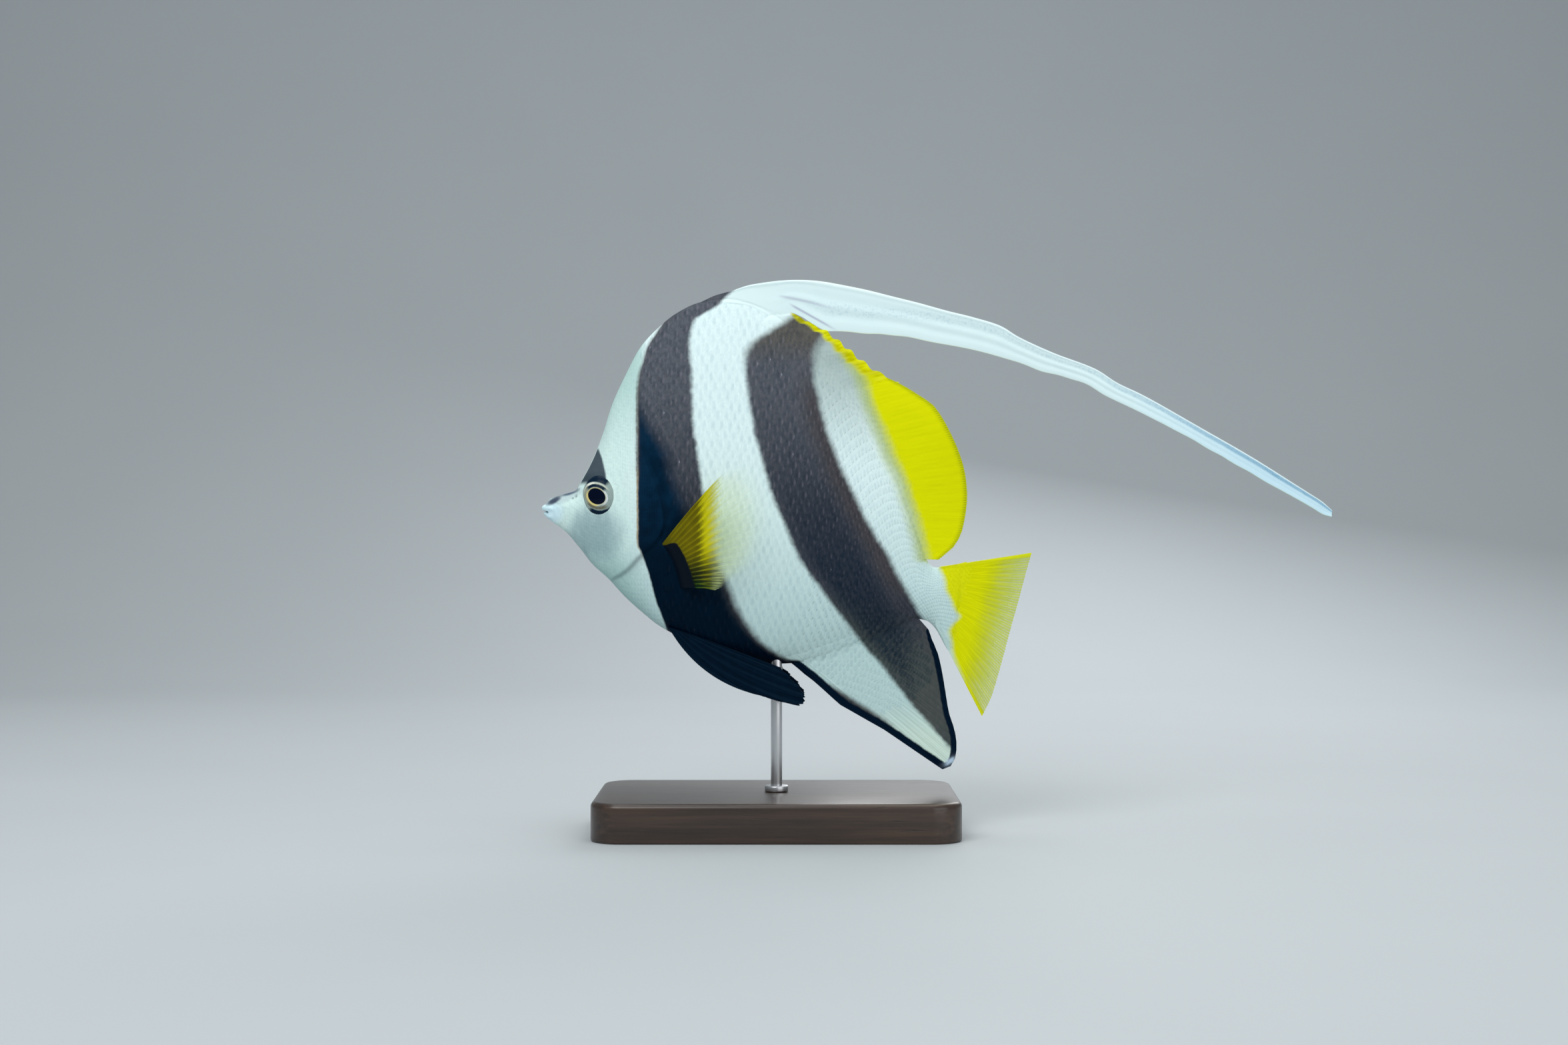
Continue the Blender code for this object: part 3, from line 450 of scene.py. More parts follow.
def bodyColours(paint, anal=False):
    # the fish's markings from the place alone, so that skin, scales and fins carry the same ones
    # the places were measured on a picture from the view, where what stands nearer looks a little larger
    look = skinColours
    x, y, z = paint.place()
    nearer = abs(y) / view["away"]
    x, z = x + (x - view["x"]) * nearer, z + (z - view["height"]) * nearer
    fray = (paint.noise(2.2, 2.0) - 0.5) * 1.6
    wander = (paint.noise(14.0, 1.0) - 0.5) * 2.0
    across = x + fray + wander

    # white, with painted shade that makes it greyer below and on the breast, and a warmer head
    high = paint.rise(z + wander * 3, 62, 150)
    white = paint.blend(high, look["whiteInShade"], look["white"])
    head = 1 - paint.rise(x, -62, -50)
    white = paint.blend(head * 0.8, white, look["headWhite"])
    # painted shade on the breast under the head
    belly = (1 - paint.rise(x + z * 0.35, -28, -12)) * (1 - paint.rise(z - x * 0.2, 112, 132))
    white = paint.blend(belly * 0.75, white, look["breast"])
    wisps = (paint.noise(3.0, 3.0, (1.0, 1.0, 3.0), twist=0.6) - 0.5) * 0.7
    # painted shade on the cheek under the eye
    cheekShadeSpot = ((x + 70.5) / 12) ** 2 + ((z - 115.5) / 12) ** 2 + wisps
    white = paint.blend((1 - paint.rise(cheekShadeSpot, 0.0, 1.35)) * 0.72, white, look["cheek"])
    lipSpot = ((x + 88.2) / 5.0) ** 2 + ((z - 124.0) / 4.6) ** 2 + wisps
    white = paint.blend((1 - paint.rise(lipSpot, 0.0, 1.7)) * 0.9, white, look["lips"])
    nape = paint.rise(z, 138, 180) * (1 - paint.rise(x, -54, -50))
    white = paint.blend(nape * 0.8, white, look["nape"])
    behind = paint.rise(z, 138, 186) * paint.rise(across - paint.lineAt("secondRear", z), -3.0, 1.0)
    white = paint.tinted(behind * 0.9, white, (0.50, 0.52, 0.50))

    # yellow of the soft dorsal and tail fins, with a greenish shade before it
    edge = across - paint.lineAt("dorsalYellow", z)
    upper = paint.rise(z, 103.5, 105.5)
    white = paint.blend(paint.rise(edge, -7.5, -1.0) * upper * 0.85, white, look["yellowShade"])
    yellow = paint.rise(edge, -2.6, 2.4) * upper
    edge = x + fray * 0.6 + wander * 0.4 - paint.lineAt("tailYellow", z)
    yellow = yellow + paint.rise(edge, -1.8, 1.4) * (1 - upper)
    white = paint.blend(yellow, white, look["yellow"])

    # dark colours
    mottle = paint.rise(paint.noise(1.45, 3.0, (1.0, 1.0, 1.4), roughness=0.62), 0.38, 0.66)
    flecks = paint.rise(paint.noise(0.95, 2.0, (1.0, 1.0, 2.2), twist=0.2), 0.48, 0.70)
    patch = paint.rise(paint.noise(7.0, 2.0), 0.36, 0.66)
    blue = (0.45 + 0.55 * patch) * (0.15 + 0.85 * paint.rise(z, 96, 132))
    navy = paint.blend(blue, look["navy"], look["navyLight"])
    band = paint.blend(paint.rise(z + wander * 4, 118, 182), look["bandLow"], look["bandHigh"])
    band = paint.blend(paint.rise(z + x * 0.4, 108, 84), band, look["bandFin"])
    band = paint.blend(flecks * (0.20 + 0.30 * paint.rise(z, 110, 170)), band, look["bandPale"])

    # first band, navy in front and below, grey behind and above, browner along its lower rear edge
    front = x + fray * 0.3 - paint.lineAt("firstFront", z)
    first = paint.rise(front, -0.5, 0.5)
    low = 1 - paint.rise(z, 88, 118)
    toRear = (across - paint.lineAt("firstRear", z)) / (1 + low * 0.9)
    first = first * (1 - paint.rise(toRear, -1.3, 1.3))
    greyness = paint.rise(across - paint.lineAt("firstNavy", z), -4.0, 5.0) * (1 - low * 0.6)
    grey = paint.blend(mottle * 0.32, band, look["bandDeep"])
    dark = paint.blend(greyness, navy, grey)
    dark = paint.blend(paint.rise(toRear, -2.2, -0.6) * low * 0.75, dark, look["rearBrown"])
    colour = paint.blend(first, white, dark)
    tall = paint.rise(z, 132, 144)
    fringe = bellOf((front + 0.2) / (0.30 + tall * 0.35)) * paint.rise(z, 104, 116)
    uneven = 0.72 + 0.28 * paint.rise(paint.noise(1.6, 3.0), 0.36, 0.60)
    fringe = fringe * (1 - paint.rise(z, 165, 185) * 0.6) * uneven
    colour = paint.blend(fringe * 0.8, colour, paint.blend(tall, look["fringe"], look["fringeBrown"]))

    # second band, deeper in the middle, browner behind and softer at its top
    soft = 1 + paint.rise(z, 176, 196) * 1.3
    fromFront = across - paint.lineAt("secondFront", z)
    fromRear = across - paint.lineAt("secondRear", z)
    second = paint.rise(fromFront / soft, -1.5, 1.5)
    if not anal:
        second = second * (1 - paint.rise(fromRear / soft, -1.9, 1.9))
    second = second * (1 - paint.rise(z + fray * 1.5 - x * 0.15, 199.5, 204.0))
    middle = paint.rise(fromFront, 1.0, 7.0) * (1 - paint.rise(fromRear, -14.0, -5.0))
    middle = middle * (0.10 + 0.62 * (1 - paint.rise(z, 92, 152)))
    brown = paint.rise(fromRear, -11.0, -2.0) * (1 - paint.rise(z, 165, 185)) * paint.rise(z, 84, 100)
    grey = paint.blend(brown * 0.8, band, look["bandBrown"])
    grey = paint.blend(paint.rise(z, 180, 193), grey, look["bandTop"])
    grey = paint.blend(mottle * 0.25, grey, look["bandDeep"])
    dark = paint.blend(middle * (0.72 + 0.28 * mottle), grey, look["bandNavy"])
    colour = paint.blend(second, colour, dark)
    darkness = paint.maths("MAXIMUM", first, second)

    # eye bar over the forehead, paler along the ridge, and the patches on the snout
    bar = 1 - paint.rise(x + fray * 0.2 - paint.lineAt("eyeBarRear", z), -0.5, 0.5)
    bar = bar * paint.rise(z, 133.0, 134.5)
    bar = bar * (1 - paint.rise(z, 147.5, 152.0)) * paint.rise(abs(y) + fray * 0.2, 0.7, 1.7)
    bar = bar * (1 - (1 - paint.rise(x, -74.5, -72.5)) * (1 - paint.rise(z + fray * 0.3, 133.8, 136.4)))
    barShade = paint.blend(paint.rise(z, 140.5, 137.0), look["eyeBar"], look["eyeBarLow"])
    colour = paint.blend(bar * 0.95, colour, barShade)
    for px, pz, length, thick, rising, strength, shade in snoutPatches:
        around = ((x - px) / length) ** 2 + ((z - pz - (x - px) * rising) / thick) ** 2
        colour = paint.blend((1 - paint.rise(around + fray * 0.2, 0.05, 1.6)) * strength, colour, look[shade])
    return {"colour": colour, "dark": darkness, "yellow": yellow, "navy": first * (1 - greyness)}


def bellOf(distance):
    # 1 at no distance and a half at 1, for shaders
    return 1 / (1 + distance**4)


skinGloss = {"Specular IOR Level": 0.07, "Specular Tint": (0.30, 0.75, 1.0)}


def skinPaint():
    paint = Paint("fishSkin", skinGloss)
    marks = bodyColours(paint)
    colour = marks["colour"]
    # painted shade in the creases, grooves, socket, mouth and nostrils, weaker on the navy
    crease = paint.attribute("crease") * (1 - marks["navy"] * 0.8)
    colour = paint.tinted(crease, colour, (0.30, 0.30, 0.31))
    fine = paint.noise(0.55, 3.0)
    grain = paint.rise(paint.noise(0.9, 3.0, (1.0, 1.0, 2.2), twist=0.35), 0.35, 0.7)
    colour = paint.tinted(grain * 0.5, colour, (0.86, 0.88, 0.90))
    return paint.finish(colour, 0.42 + fine * 0.16, fine * 0.6 + grain * 0.4, 0.06)


def scalePaint(name="fishScales", anal=False):
    paint = Paint(name, skinGloss)
    marks = bodyColours(paint, anal)
    colour, dark = marks["colour"], marks["dark"]
    along, across = paint.mapAt("scaleMap")
    tint, small = paint.attribute("tint"), paint.attribute("small")
    z = paint.place()[2]
    # on white each scale has a soft greyer upright dash, a painted shadow behind the free edge of the scale
    # before it, and a painted highlight makes it a little lighter towards its free edge
    plain = (1 - dark) * (1 - marks["yellow"]) * (1 - small * 0.9)
    shadowBehindRim = bellOf((along - 0.66) / 0.12) * bellOf((across - 0.5) / 0.20)
    colour = paint.tinted(shadowBehindRim * plain * (0.14 + tint * 0.26), colour, (0.60, 0.67, 0.71))
    colour = paint.tinted(paint.rise(along, 0.74, 0.96) * plain * 0.7, colour, (1.08, 1.07, 1.06))
    # on the bands the painted shadow dashes are deeper, with a pale fleck of painted highlight beside some,
    # stronger higher up, and a few scales glint
    lit = dark * (1 - marks["navy"] * 0.85) * (1 - small) * (0.30 + 0.70 * paint.rise(z, 90, 160))
    colour = paint.tinted(shadowBehindRim * dark * (0.15 + tint * 0.35), colour, (0.42, 0.48, 0.54))
    fleck = bellOf((along - 0.88) / 0.09) * bellOf((across - 0.46 - tint * 0.08) / 0.16)
    colour = paint.blend(fleck * lit * (0.05 + tint * 0.30), colour, (0.22, 0.21, 0.25))
    glint = paint.rise(tint, 0.972, 0.985) * paint.rise(along, 0.86, 0.93) * bellOf((across - 0.5) / 0.04)
    colour = paint.blend(glint * lit * 0.6, colour, (0.50, 0.55, 0.62))
    grain = paint.noise(0.8, 3.0, (1.0, 1.0, 2.0), twist=0.3)
    colour = paint.tinted(paint.rise(grain, 0.35, 0.7) * 0.5, colour, (0.84, 0.86, 0.88))
    return paint.finish(colour, 0.46 + tint * 0.12, grain, 0.025)


# Stand

stand = {
    "length": 140.0,
    "width": 84.0,
    "height": 15.0,
    "corner": 12.0,
    "topEdge": 2.0,
    "footEdge": 0.8,
    "rodRadius": 2.2,
    "rodTop": 72.6,
    "collarRadius": 4.6,
    "collarHeight": 2.4,
}


def woodPaint():
    paint = Paint("darkWood", {"Coat Weight": 0.45, "Coat Roughness": 0.18, "Specular IOR Level": 0.4})
    grain = paint.noise(2.4, 5.0, (24.0, 1.0, 1.0), roughness=0.62)
    broad = paint.noise(16.0, 2.0, (6.0, 1.0, 1.0))
    pores = paint.rise(paint.noise(0.7, 2.0, (20.0, 1.0, 1.0)), 0.62, 0.74)
    stops = [(0.30, (0.012, 0.007, 0.005)), (0.52, (0.038, 0.020, 0.012)), (0.72, (0.075, 0.040, 0.022))]
    colour = paint.node("ShaderNodeValToRGB", {"stops": stops}, {"Fac": grain * 0.7 + broad * 0.3})
    colour = paint.blend(pores * 0.7, colour, (0.006, 0.004, 0.003))
    return paint.finish(colour, 0.36 + grain * 0.14, grain * 0.4 - pores, 0.06)


def steelPaint():
    paint = Paint("brushedSteel", {"Metallic": 1.0, "Anisotropic": 0.4})
    brush = paint.noise(0.35, 3.0, (1.0, 1.0, 40.0))
    smudge = paint.noise(9.0, 2.0)
    colour = paint.blend(smudge, (0.50, 0.51, 0.53), (0.62, 0.63, 0.64))
    return paint.finish(colour, 0.20 + brush * 0.14 + smudge * 0.06, brush, 0.01)


def bevelEdges(piece, wanted, width, segments):
    # rounds the edges whose two ends pass the test
    pick(piece)
    bpy.ops.object.mode_set(mode="EDIT")
    bpy.ops.mesh.select_mode(type="EDGE")
    bpy.ops.mesh.select_all(action="DESELECT")
    bpy.ops.object.mode_set(mode="OBJECT")
    points = readPoints(piece)
    for edge in piece.data.edges:
        edge.select = bool(wanted(points[edge.vertices[0]], points[edge.vertices[1]]))
    bpy.ops.object.mode_set(mode="EDIT")
    bpy.ops.mesh.bevel(offset=width * mm, segments=segments, affect="EDGES")
    bpy.ops.object.mode_set(mode="OBJECT")


def makeBase(material):
    height = stand["height"]
    bpy.ops.object.select_all(action="DESELECT")
    bpy.ops.mesh.primitive_cube_add(size=1.0 * mm, location=(0, 0, height / 2 * mm))
    base = named("standBase")
    base.scale = (stand["length"], stand["width"], height)
    bpy.ops.object.transform_apply(location=True, rotation=True, scale=True)
    bevelEdges(base, lambda a, b: abs(a[2] - b[2]) > 1, stand["corner"], 20)
    bevelEdges(base, lambda a, b: min(a[2], b[2]) > height - 0.01, stand["topEdge"], 5)
    bevelEdges(base, lambda a, b: max(a[2], b[2]) < 0.01, stand["footEdge"], 3)
    tidyMesh(base, angle=30)
    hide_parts("stand_base")
    return painted(base, material)


def makeRod(material):
    low, top = stand["height"] - 6.0, stand["rodTop"]
    collar = stand["height"]
    bpy.ops.object.select_all(action="DESELECT")
    bpy.ops.mesh.primitive_cylinder_add(
        vertices=72, radius=stand["rodRadius"] * mm, depth=(top - low) * mm,
        location=(0, 0, (top + low) / 2 * mm),
    )
    rod = named("standRod")
    bpy.ops.mesh.primitive_cylinder_add(
        vertices=96, radius=stand["collarRadius"] * mm, depth=stand["collarHeight"] * mm,
        location=(0, 0, (collar + stand["collarHeight"] / 2 + 0.05) * mm),
    )
    rod.select_set(True)
    bpy.context.view_layer.objects.active = rod
    bpy.ops.object.join()
    bpy.ops.object.transform_apply(location=True, rotation=True, scale=True)
    softEdge = rod.modifiers.new("softEdge", "BEVEL")
    softEdge.width = 0.5 * mm
    softEdge.segments = 4
    softEdge.limit_method = "ANGLE"
    softEdge.angle_limit = math.radians(60)
    applyModifiers(rod)
    tidyMesh(rod, angle=30)
    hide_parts("stand_rod")
    return painted(rod, material)


makeBase(woodPaint())
makeRod(steelPaint())
print("stand made")


# Skin

skin = {
    "halfRing": 128,  # quads from the back to the belly on each side
    "gillRim": 0.7,
    "gillGroove": 0.32,
    "orbitHeight": 0.30,
    "socketDepth": 1.5,
    "lipSwell": 0.42,
    "mouthDepth": 1.7,
}
gillLine = [
    (-53.8, 220.0), (-53.8, 188.0), (-54.1, 167.7), (-52.8, 152.1), (-49.4, 141.7), (-45.5, 132.6),
    (-43.6, 124.8), (-43.4, 118.3), (-45.5, 113.6), (-49.1, 110.0), (-53.3, 107.0), (-57.2, 102.7),
    (-61.1, 99.8), (-65.0, 97.8), (-69.0, 94.0), (-74.0, 86.0), (-80.0, 50.0),
]
faceLines = {
    "cheekPlate": [
        (-61.5, 140.0), (-59.0, 133.0), (-58.6, 125.0), (-59.6, 117.0), (-62.6, 110.0), (-67.5, 105.2),
        (-74.0, 103.6),
    ],
    "maxilla": [(-86.4, 127.8), (-84.0, 126.2), (-82.7, 123.2), (-83.0, 120.0), (-84.6, 118.3)],
    "mouth": [(-89.4, 123.75), (-90.2, 123.95), (-91.0, 124.1), (-92.0, 124.2)],
    "upperLip": [(-87.6, 125.2), (-89.0, 125.5), (-90.4, 125.7), (-91.6, 125.7)],
    "lowerLip": [(-88.0, 122.0), (-89.2, 122.3), (-90.4, 122.6), (-91.6, 122.8)],
}
orbit = {"x": -68.7, "height": 130.2, "halfWidth": 5.95, "halfTall": 7.45}
nostrils = [(-79.2, 129.3, 0.35), (-77.9, 130.1, 0.45)]


def bodyPoint(x, angle, sunk):
    # points of the right side, from the back at angle 0 to the belly at pi
    leant = x.copy()
    start, length, blunt = bodyShape["snoutTip"]
    tip = np.where(x < start, np.clip(1 - (np.abs(start - x) / length) ** blunt, 0, 1) ** (1 / blunt), 1.0)
    for _ in range(6):
        middle = smoothLine(leant, bodyShape["widestHeight"])
        back = (smoothLine(leant, bodyShape["back"]) - sunk - middle) * tip
        belly = (middle - smoothLine(leant, bodyShape["belly"]) - sunk) * tip
        z = middle + np.cos(angle) * np.where(np.cos(angle) > 0, back, belly)
        leant = x + bodyShape["tailLean"] * (z - bodyShape["tailMiddle"]) * ramp(52, 70, x)
    more = (bodyShape["keelPower"] - bodyShape["bellyPower"]) * ramp(*bodyShape["keel"], leant)
    power = np.where(np.cos(angle) > 0, bodyShape["backPower"], bodyShape["bellyPower"] + more)
    width = (smoothLine(leant, bodyShape["halfWidth"]) - sunk) * tip
    closing = np.sqrt(np.clip((bodyShape["tailEnd"] - x) / bodyShape["closing"], 0, 1))
    y = np.maximum(width, 0.05) * closing * np.clip(np.sin(angle), 0, 1) ** power
    return np.stack([leant, y, z], axis=-1)


def stationPlaces():
    start, length, _ = bodyShape["snoutTip"]
    tip = start - length * np.cos(np.linspace(0, math.pi / 2, 27))
    parts = [tip, np.arange(-88.45, -84, 0.15), np.arange(-84, -55, 0.3), np.arange(-55, -40, 0.45)]
    parts += [np.arange(-40, 69.5, 0.9), [70.2, 70.7, 71.1, 71.35, bodyShape["tailEnd"]]]
    return np.concatenate(parts)


def sideOfBody():
    # the right side of the skin as rows of points, and how dark the painted shade in its creases and hollows
    # is
    x = stationPlaces()[:, None]
    sunk = bodyShape["coatDepth"] * (0.4 + 0.6 * ramp(-84, -60, x))
    dense = np.linspace(0, math.pi, 700)[None, :]
    shape = bodyPoint(x + 0 * dense, dense + 0 * x, sunk + 0 * dense)
    steps = np.linalg.norm(np.diff(shape, axis=1), axis=2) + 1e-6
    lengths = np.concatenate([np.zeros((len(x), 1)), np.cumsum(steps, axis=1)], axis=1)
    count = skin["halfRing"] + 1
    angles = np.array([np.interp(np.linspace(0, 1, count) * row[-1], row, dense[0]) for row in lengths])
    angles[:, 0], angles[:, -1] = 0.0, math.pi
    points = bodyPoint(x + 0 * angles, angles, sunk + 0 * angles)
    normals = np.cross(np.gradient(points, axis=0), np.gradient(points, axis=1))
    normals[:, [0, -1], 1] = 0.0
    normals[[0, -1]] = normals[[1, -2]]
    size = np.linalg.norm(normals, axis=2, keepdims=True)
    normals = normals / np.maximum(size, 1e-9)
    normals *= np.where(normals[:, count // 2, 1] > 0, 1.0, -1.0)[:, None, None]
    lift, crease = faceRelief(points)
    points = points + normals * lift[..., None]
    points[:, [0, -1], 1] = 0.0
    return points, crease


def faceRelief(points):
    # how far the skin rises at each point of the side, and how dark the painted shade in its creases, grooves,
    # pits and socket is
    flat = points[..., [0, 2]].reshape(-1, 2)
    x, z = flat.T
    outward = np.clip(points[..., 1].reshape(-1) / 6.0, 0, 1)
    lift, crease = np.zeros(len(flat)), np.zeros(len(flat))

    gill = alongLine(gillLine, np.linspace(0, 1, 60))
    away, _, side = nearestOn(flat, gill)
    behind = away * side
    shown = (1 - ramp(140, 160, z)) * ramp(78, 90, z)
    cover = skin["gillRim"] * ramp(-68, -46, x) * (1 - ramp(142, 168, z)) * outward
    lift += cover * (1 - ramp(-0.25, 0.45, behind))
    groove = bell(behind - 0.9, 0.85) * shown * outward
    lift -= skin["gillGroove"] * groove
    # painted shade in the gill groove, and a wider soft painted shadow behind the gill cover's edge
    crease += 0.52 * groove + 0.22 * bell(behind - 1.8, 2.2) * shown * (behind > 0) * ramp(92, 106, z)

    away, _, side = nearestOn(flat, alongLine(faceLines["cheekPlate"], np.linspace(0, 1, 40)))
    upper = ramp(103, 111, z)
    lift += (0.10 * bell(away * side + 1.4, 1.6) - 0.10 * bell(away, 0.7)) * upper
    crease += 0.10 * bell(away, 0.8) * upper

    rim = np.hypot((x - orbit["x"]) / orbit["halfWidth"], (z - orbit["height"]) / orbit["halfTall"])
    lift += skin["orbitHeight"] * bell(rim - 1.0, 0.09)
    lift -= skin["socketDepth"] * (1 - ramp(0.79, 0.96, rim))
    # painted shade inside the socket
    crease += 0.45 * (1 - ramp(0.90, 0.98, rim))

    # the maxilla and mouth lines sink, with painted shade in them
    for place, deep, wide, dark in (("maxilla", 0.16, 0.45, 0.14), ("mouth", skin["mouthDepth"], 0.36, 0.8)):
        away, _, _ = nearestOn(flat, alongLine(faceLines[place], np.linspace(0, 1, 30)))
        lift -= deep * bell(away, wide)
        crease += dark * bell(away, wide * 1.15)
    for place in ("upperLip", "lowerLip"):
        away, _, _ = nearestOn(flat, alongLine(faceLines[place], np.linspace(0, 1, 30)))
        lift += skin["lipSwell"] * bell(away, 0.85)
    # nostril pits with painted shade in them
    for nx, nz, radius in nostrils:
        away = np.hypot(x - nx, z - nz)
        lift += -0.6 * bell(away, radius) + 0.10 * bell(away - radius * 1.7, radius * 0.6)
        crease += 0.8 * bell(away, radius * 0.95)
    lift += 0.05 * np.sin(x * 1.9 + np.sin(z * 0.7)) * np.sin(z * 1.3) * (1 - ramp(-62, -50, x)) * outward
    shape = points.shape[:2]
    return lift.reshape(shape), np.clip(crease, 0, 1).reshape(shape)


side, sideHollowShade = sideOfBody()


def makeSkin(material):
    other = side[:, ::-1] * (1, -1, 1)
    ring = np.concatenate([side, other[:, 1:]], axis=1)
    body, i, j = shapedGrid("bannerfishSkin", ring, "skinMap")
    crease = np.concatenate([sideHollowShade, sideHollowShade[:, ::-1][:, 1:]], axis=1)
    # the painted shade of the creases goes onto the skin as an attribute
    shade = body.data.attributes.new("crease", "FLOAT", "POINT")
    shade.data.foreach_set("value", crease[i, j].astype(np.float32))
    tidyMesh(body, merge=0.004, angle=60)
    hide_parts("head", "torso", "tail_peduncle")
    return painted(body, material)


body = makeSkin(skinPaint())
print("skin made:", len(body.data.polygons), "faces")


# Fins

finShape = {
    "softDorsal": {
        "root": [(25.8, 174.6), (35.1, 160.4), (45.5, 140.4), (53.8, 118.3), (58.5, 105.5)],
        "margin": [
            (42.2, 177.0), (47.4, 174.6), (52.9, 171.5), (56.6, 169.0), (61.1, 165.9), (65.0, 160.4),
            (68.9, 152.9), (71.8, 145.9), (73.8, 138.6), (74.6, 130.0), (73.8, 122.2), (72.3, 115.7),
            (69.4, 110.5), (65.8, 107.4), (63.4, 105.4),
        ],
        "rays": 25, "rows": 48, "buried": 8.0, "rootHalf": 0.9, "sway": 1.2, "waves": 1.3, "start": 1.495,
        "comb": 0.35, "pleats": 0.03,
    },
    "anal": {
        "root": [(5.6, 64.8), (9.1, 65.4), (19.5, 68.0), (35.1, 74.0), (45.5, 78.4), (55.0, 82.6)],
        "spines": [(14.6, 58.2), (25.0, 48.7), (41.8, 39.2)],
        "margin": [
            (64.6, 23.7), (68.6, 25.7), (70.2, 32.0), (69.4, 39.0), (67.3, 45.5), (66.0, 53.3),
            (64.7, 61.1), (62.9, 68.9), (60.8, 73.6), (59.3, 78.0),
        ],
        "rays": 18, "rows": 56, "buried": 9.0, "bow": 0.015, "rootHalf": 1.3, "sway": 1.0, "waves": 1.0,
        "start": 3.914, "comb": 0.0, "pleats": 0.06,
    },
    "caudal": {
        "root": [(69.6, 103.55), (67.9, 89.0), (64.6, 74.5)],
        "margin": [
            (99.8, 108.1), (97.5, 100.1), (95.4, 92.3), (92.8, 83.2), (90.5, 75.4), (88.4, 67.6),
            (86.1, 59.8), (83.7, 52.0), (80.0, 44.4),
        ],
        "rays": 17, "rows": 50, "buried": 6.0, "rootHalf": 0.8, "sway": 2.0, "waves": 0.6, "start": 1.424,
        "comb": 0.25, "pleats": 0.09,
    },
    "pectoral": {
        "root": [(-43.6, 111.6), (-40.5, 107.0), (-38.0, 101.5), (-36.0, 95.0)],
        "margin": [
            (-18.2, 140.4), (-10.4, 142.7), (-5.2, 138.6), (-2.6, 131.3), (-2.1, 120.9), (-4.4, 110.5),
            (-9.1, 102.7), (-15.6, 98.0), (-23.4, 94.0),
        ],
        "rays": 16, "rows": 40, "buried": 0.0, "bow": 0.02, "rootHalf": 1.5, "comb": 0.4,
        "rootY": 9.5, "swell": 5.2, "swellOver": 2.2, "spread": 21,
    },
}


def rayPattern(index, share, firstSplit=0.30, secondSplit=0.58):
    # 1 along each ray and its branches, 0 on the membrane between them
    q = (index - np.round(index))[:, None]
    v = share[None, :]
    first = 0.25 * ramp(firstSplit, firstSplit + 0.4, v)
    second = 0.125 * ramp(secondSplit, secondSplit + 0.35, v)
    width = 0.17 - 0.10 * v
    pattern = np.zeros((len(index), len(share)))
    for a in (-1, 1):
        for b in (-1, 1):
            pattern = np.maximum(pattern, bell(q - a * first - b * second, width))
    return pattern


def fan(roots, tips, perRay, rows, buried=0.0, bow=0.0, comb=0.0):
    # a fan of rays in x and z: the ray numbers, the shares along a ray, the points and the raised rays
    roots, tips = np.array(roots, float), np.array(tips, float)
    direction = (tips - roots) / np.linalg.norm(tips - roots, axis=1)[:, None]
    roots = roots - direction * buried
    index = np.linspace(0, len(roots) - 1, (len(roots) - 1) * perRay + 1)
    share = np.linspace(0, 1, rows + 1)
    numbers = np.arange(len(roots))
    near = np.stack([np.interp(index, numbers, roots[:, k]) for k in range(2)], axis=1)
    far = np.stack([np.interp(index, numbers, tips[:, k]) for k in range(2)], axis=1)
    pattern = rayPattern(index, share)
    length = np.linalg.norm(far - near, axis=1)[:, None]
    v = share[None, :] * (1 - comb / length * (1 - pattern) * share[None, :] ** 8)
    chord = (far - near)[:, None]
    across = np.stack([-chord[..., 1], chord[..., 0]], axis=-1)
    points = near[:, None] + chord * v[..., None] + across * bow * 4 * (v * (1 - v))[..., None]
    return index, share, points, pattern


def unitRows(vectors):
    return vectors / np.maximum(np.linalg.norm(vectors, axis=-1, keepdims=True), 1e-9)


def upright(points, y):
    return np.stack([points[..., 0], y + 0 * points[..., 0], points[..., 1]], axis=-1)


skinTree = treeOf("bannerfishSkin")
farOut = 60.0  # where a line towards the body starts


def bodyHalf(x, z):
    # half the thickness of the body at a place in its middle plane, or 0 beyond its outline
    hit = skinTree.ray_cast(Vector((x, farOut, z)), Vector((0, -1, 0)), farOut)[0]
    return hit[1] if hit else 0.0


def grownFromBody(points, half, blend=2.4):
    # swells a fin where it leaves the body, so that the two surfaces run into each other
    inside = np.array([bodyHalf(x, z) for x, z in points[..., [0, 2]].reshape(-1, 2)]).reshape(half.shape)
    t = np.clip(0.5 + 0.5 * (inside - half) / blend, 0, 1)
    t = np.where(inside > 0, t, 0.0)
    joined = half * (1 - t) + inside * t + blend * t * (1 - t) * ramp(0.0, 1.2, inside)
    return joined - 0.3 * ramp(0.78, 1.0, t)


def finPiece(name, points, half, pattern, material, node, corner=None):
    # corner is the row of points that parts the front edge of the fin from its rear edge
    piece, i, j = shapedGrid(name, points)
    flat = points[..., [0, 2]]
    reach = np.linalg.norm(flat - flat[:, :1], axis=2)
    shades = {"ray": pattern, "reach": reach, "fromEdge": reach[:, -1:] - reach}
    if corner:
        front = np.vstack([flat[0, ::4], flat[:corner:6, -1], flat[corner, -1:]])
        for key, line in (("fromFront", front), ("fromRear", flat[corner::6, -1])):
            shades[key] = nearestOn(flat.reshape(-1, 2), line)[0].reshape(reach.shape)
    for key, values in shades.items():
        shade = piece.data.attributes.new(key, "FLOAT", "POINT")
        shade.data.foreach_set("value", values[i, j].astype(np.float32))
    thickened(piece, half[i, j])
    tidyMesh(piece, merge=0.0005, angle=70)
    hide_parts(node)
    return painted(piece, material)


def swayOf(shape, index, share):
    wave = np.sin(shape["start"] + shape["waves"] * 2 * math.pi * index / index[-1])
    pleats = shape["pleats"] * np.cos(2 * math.pi * index)[:, None] * share
    return shape["sway"] * share[None, :] ** 2 * wave[:, None] + pleats


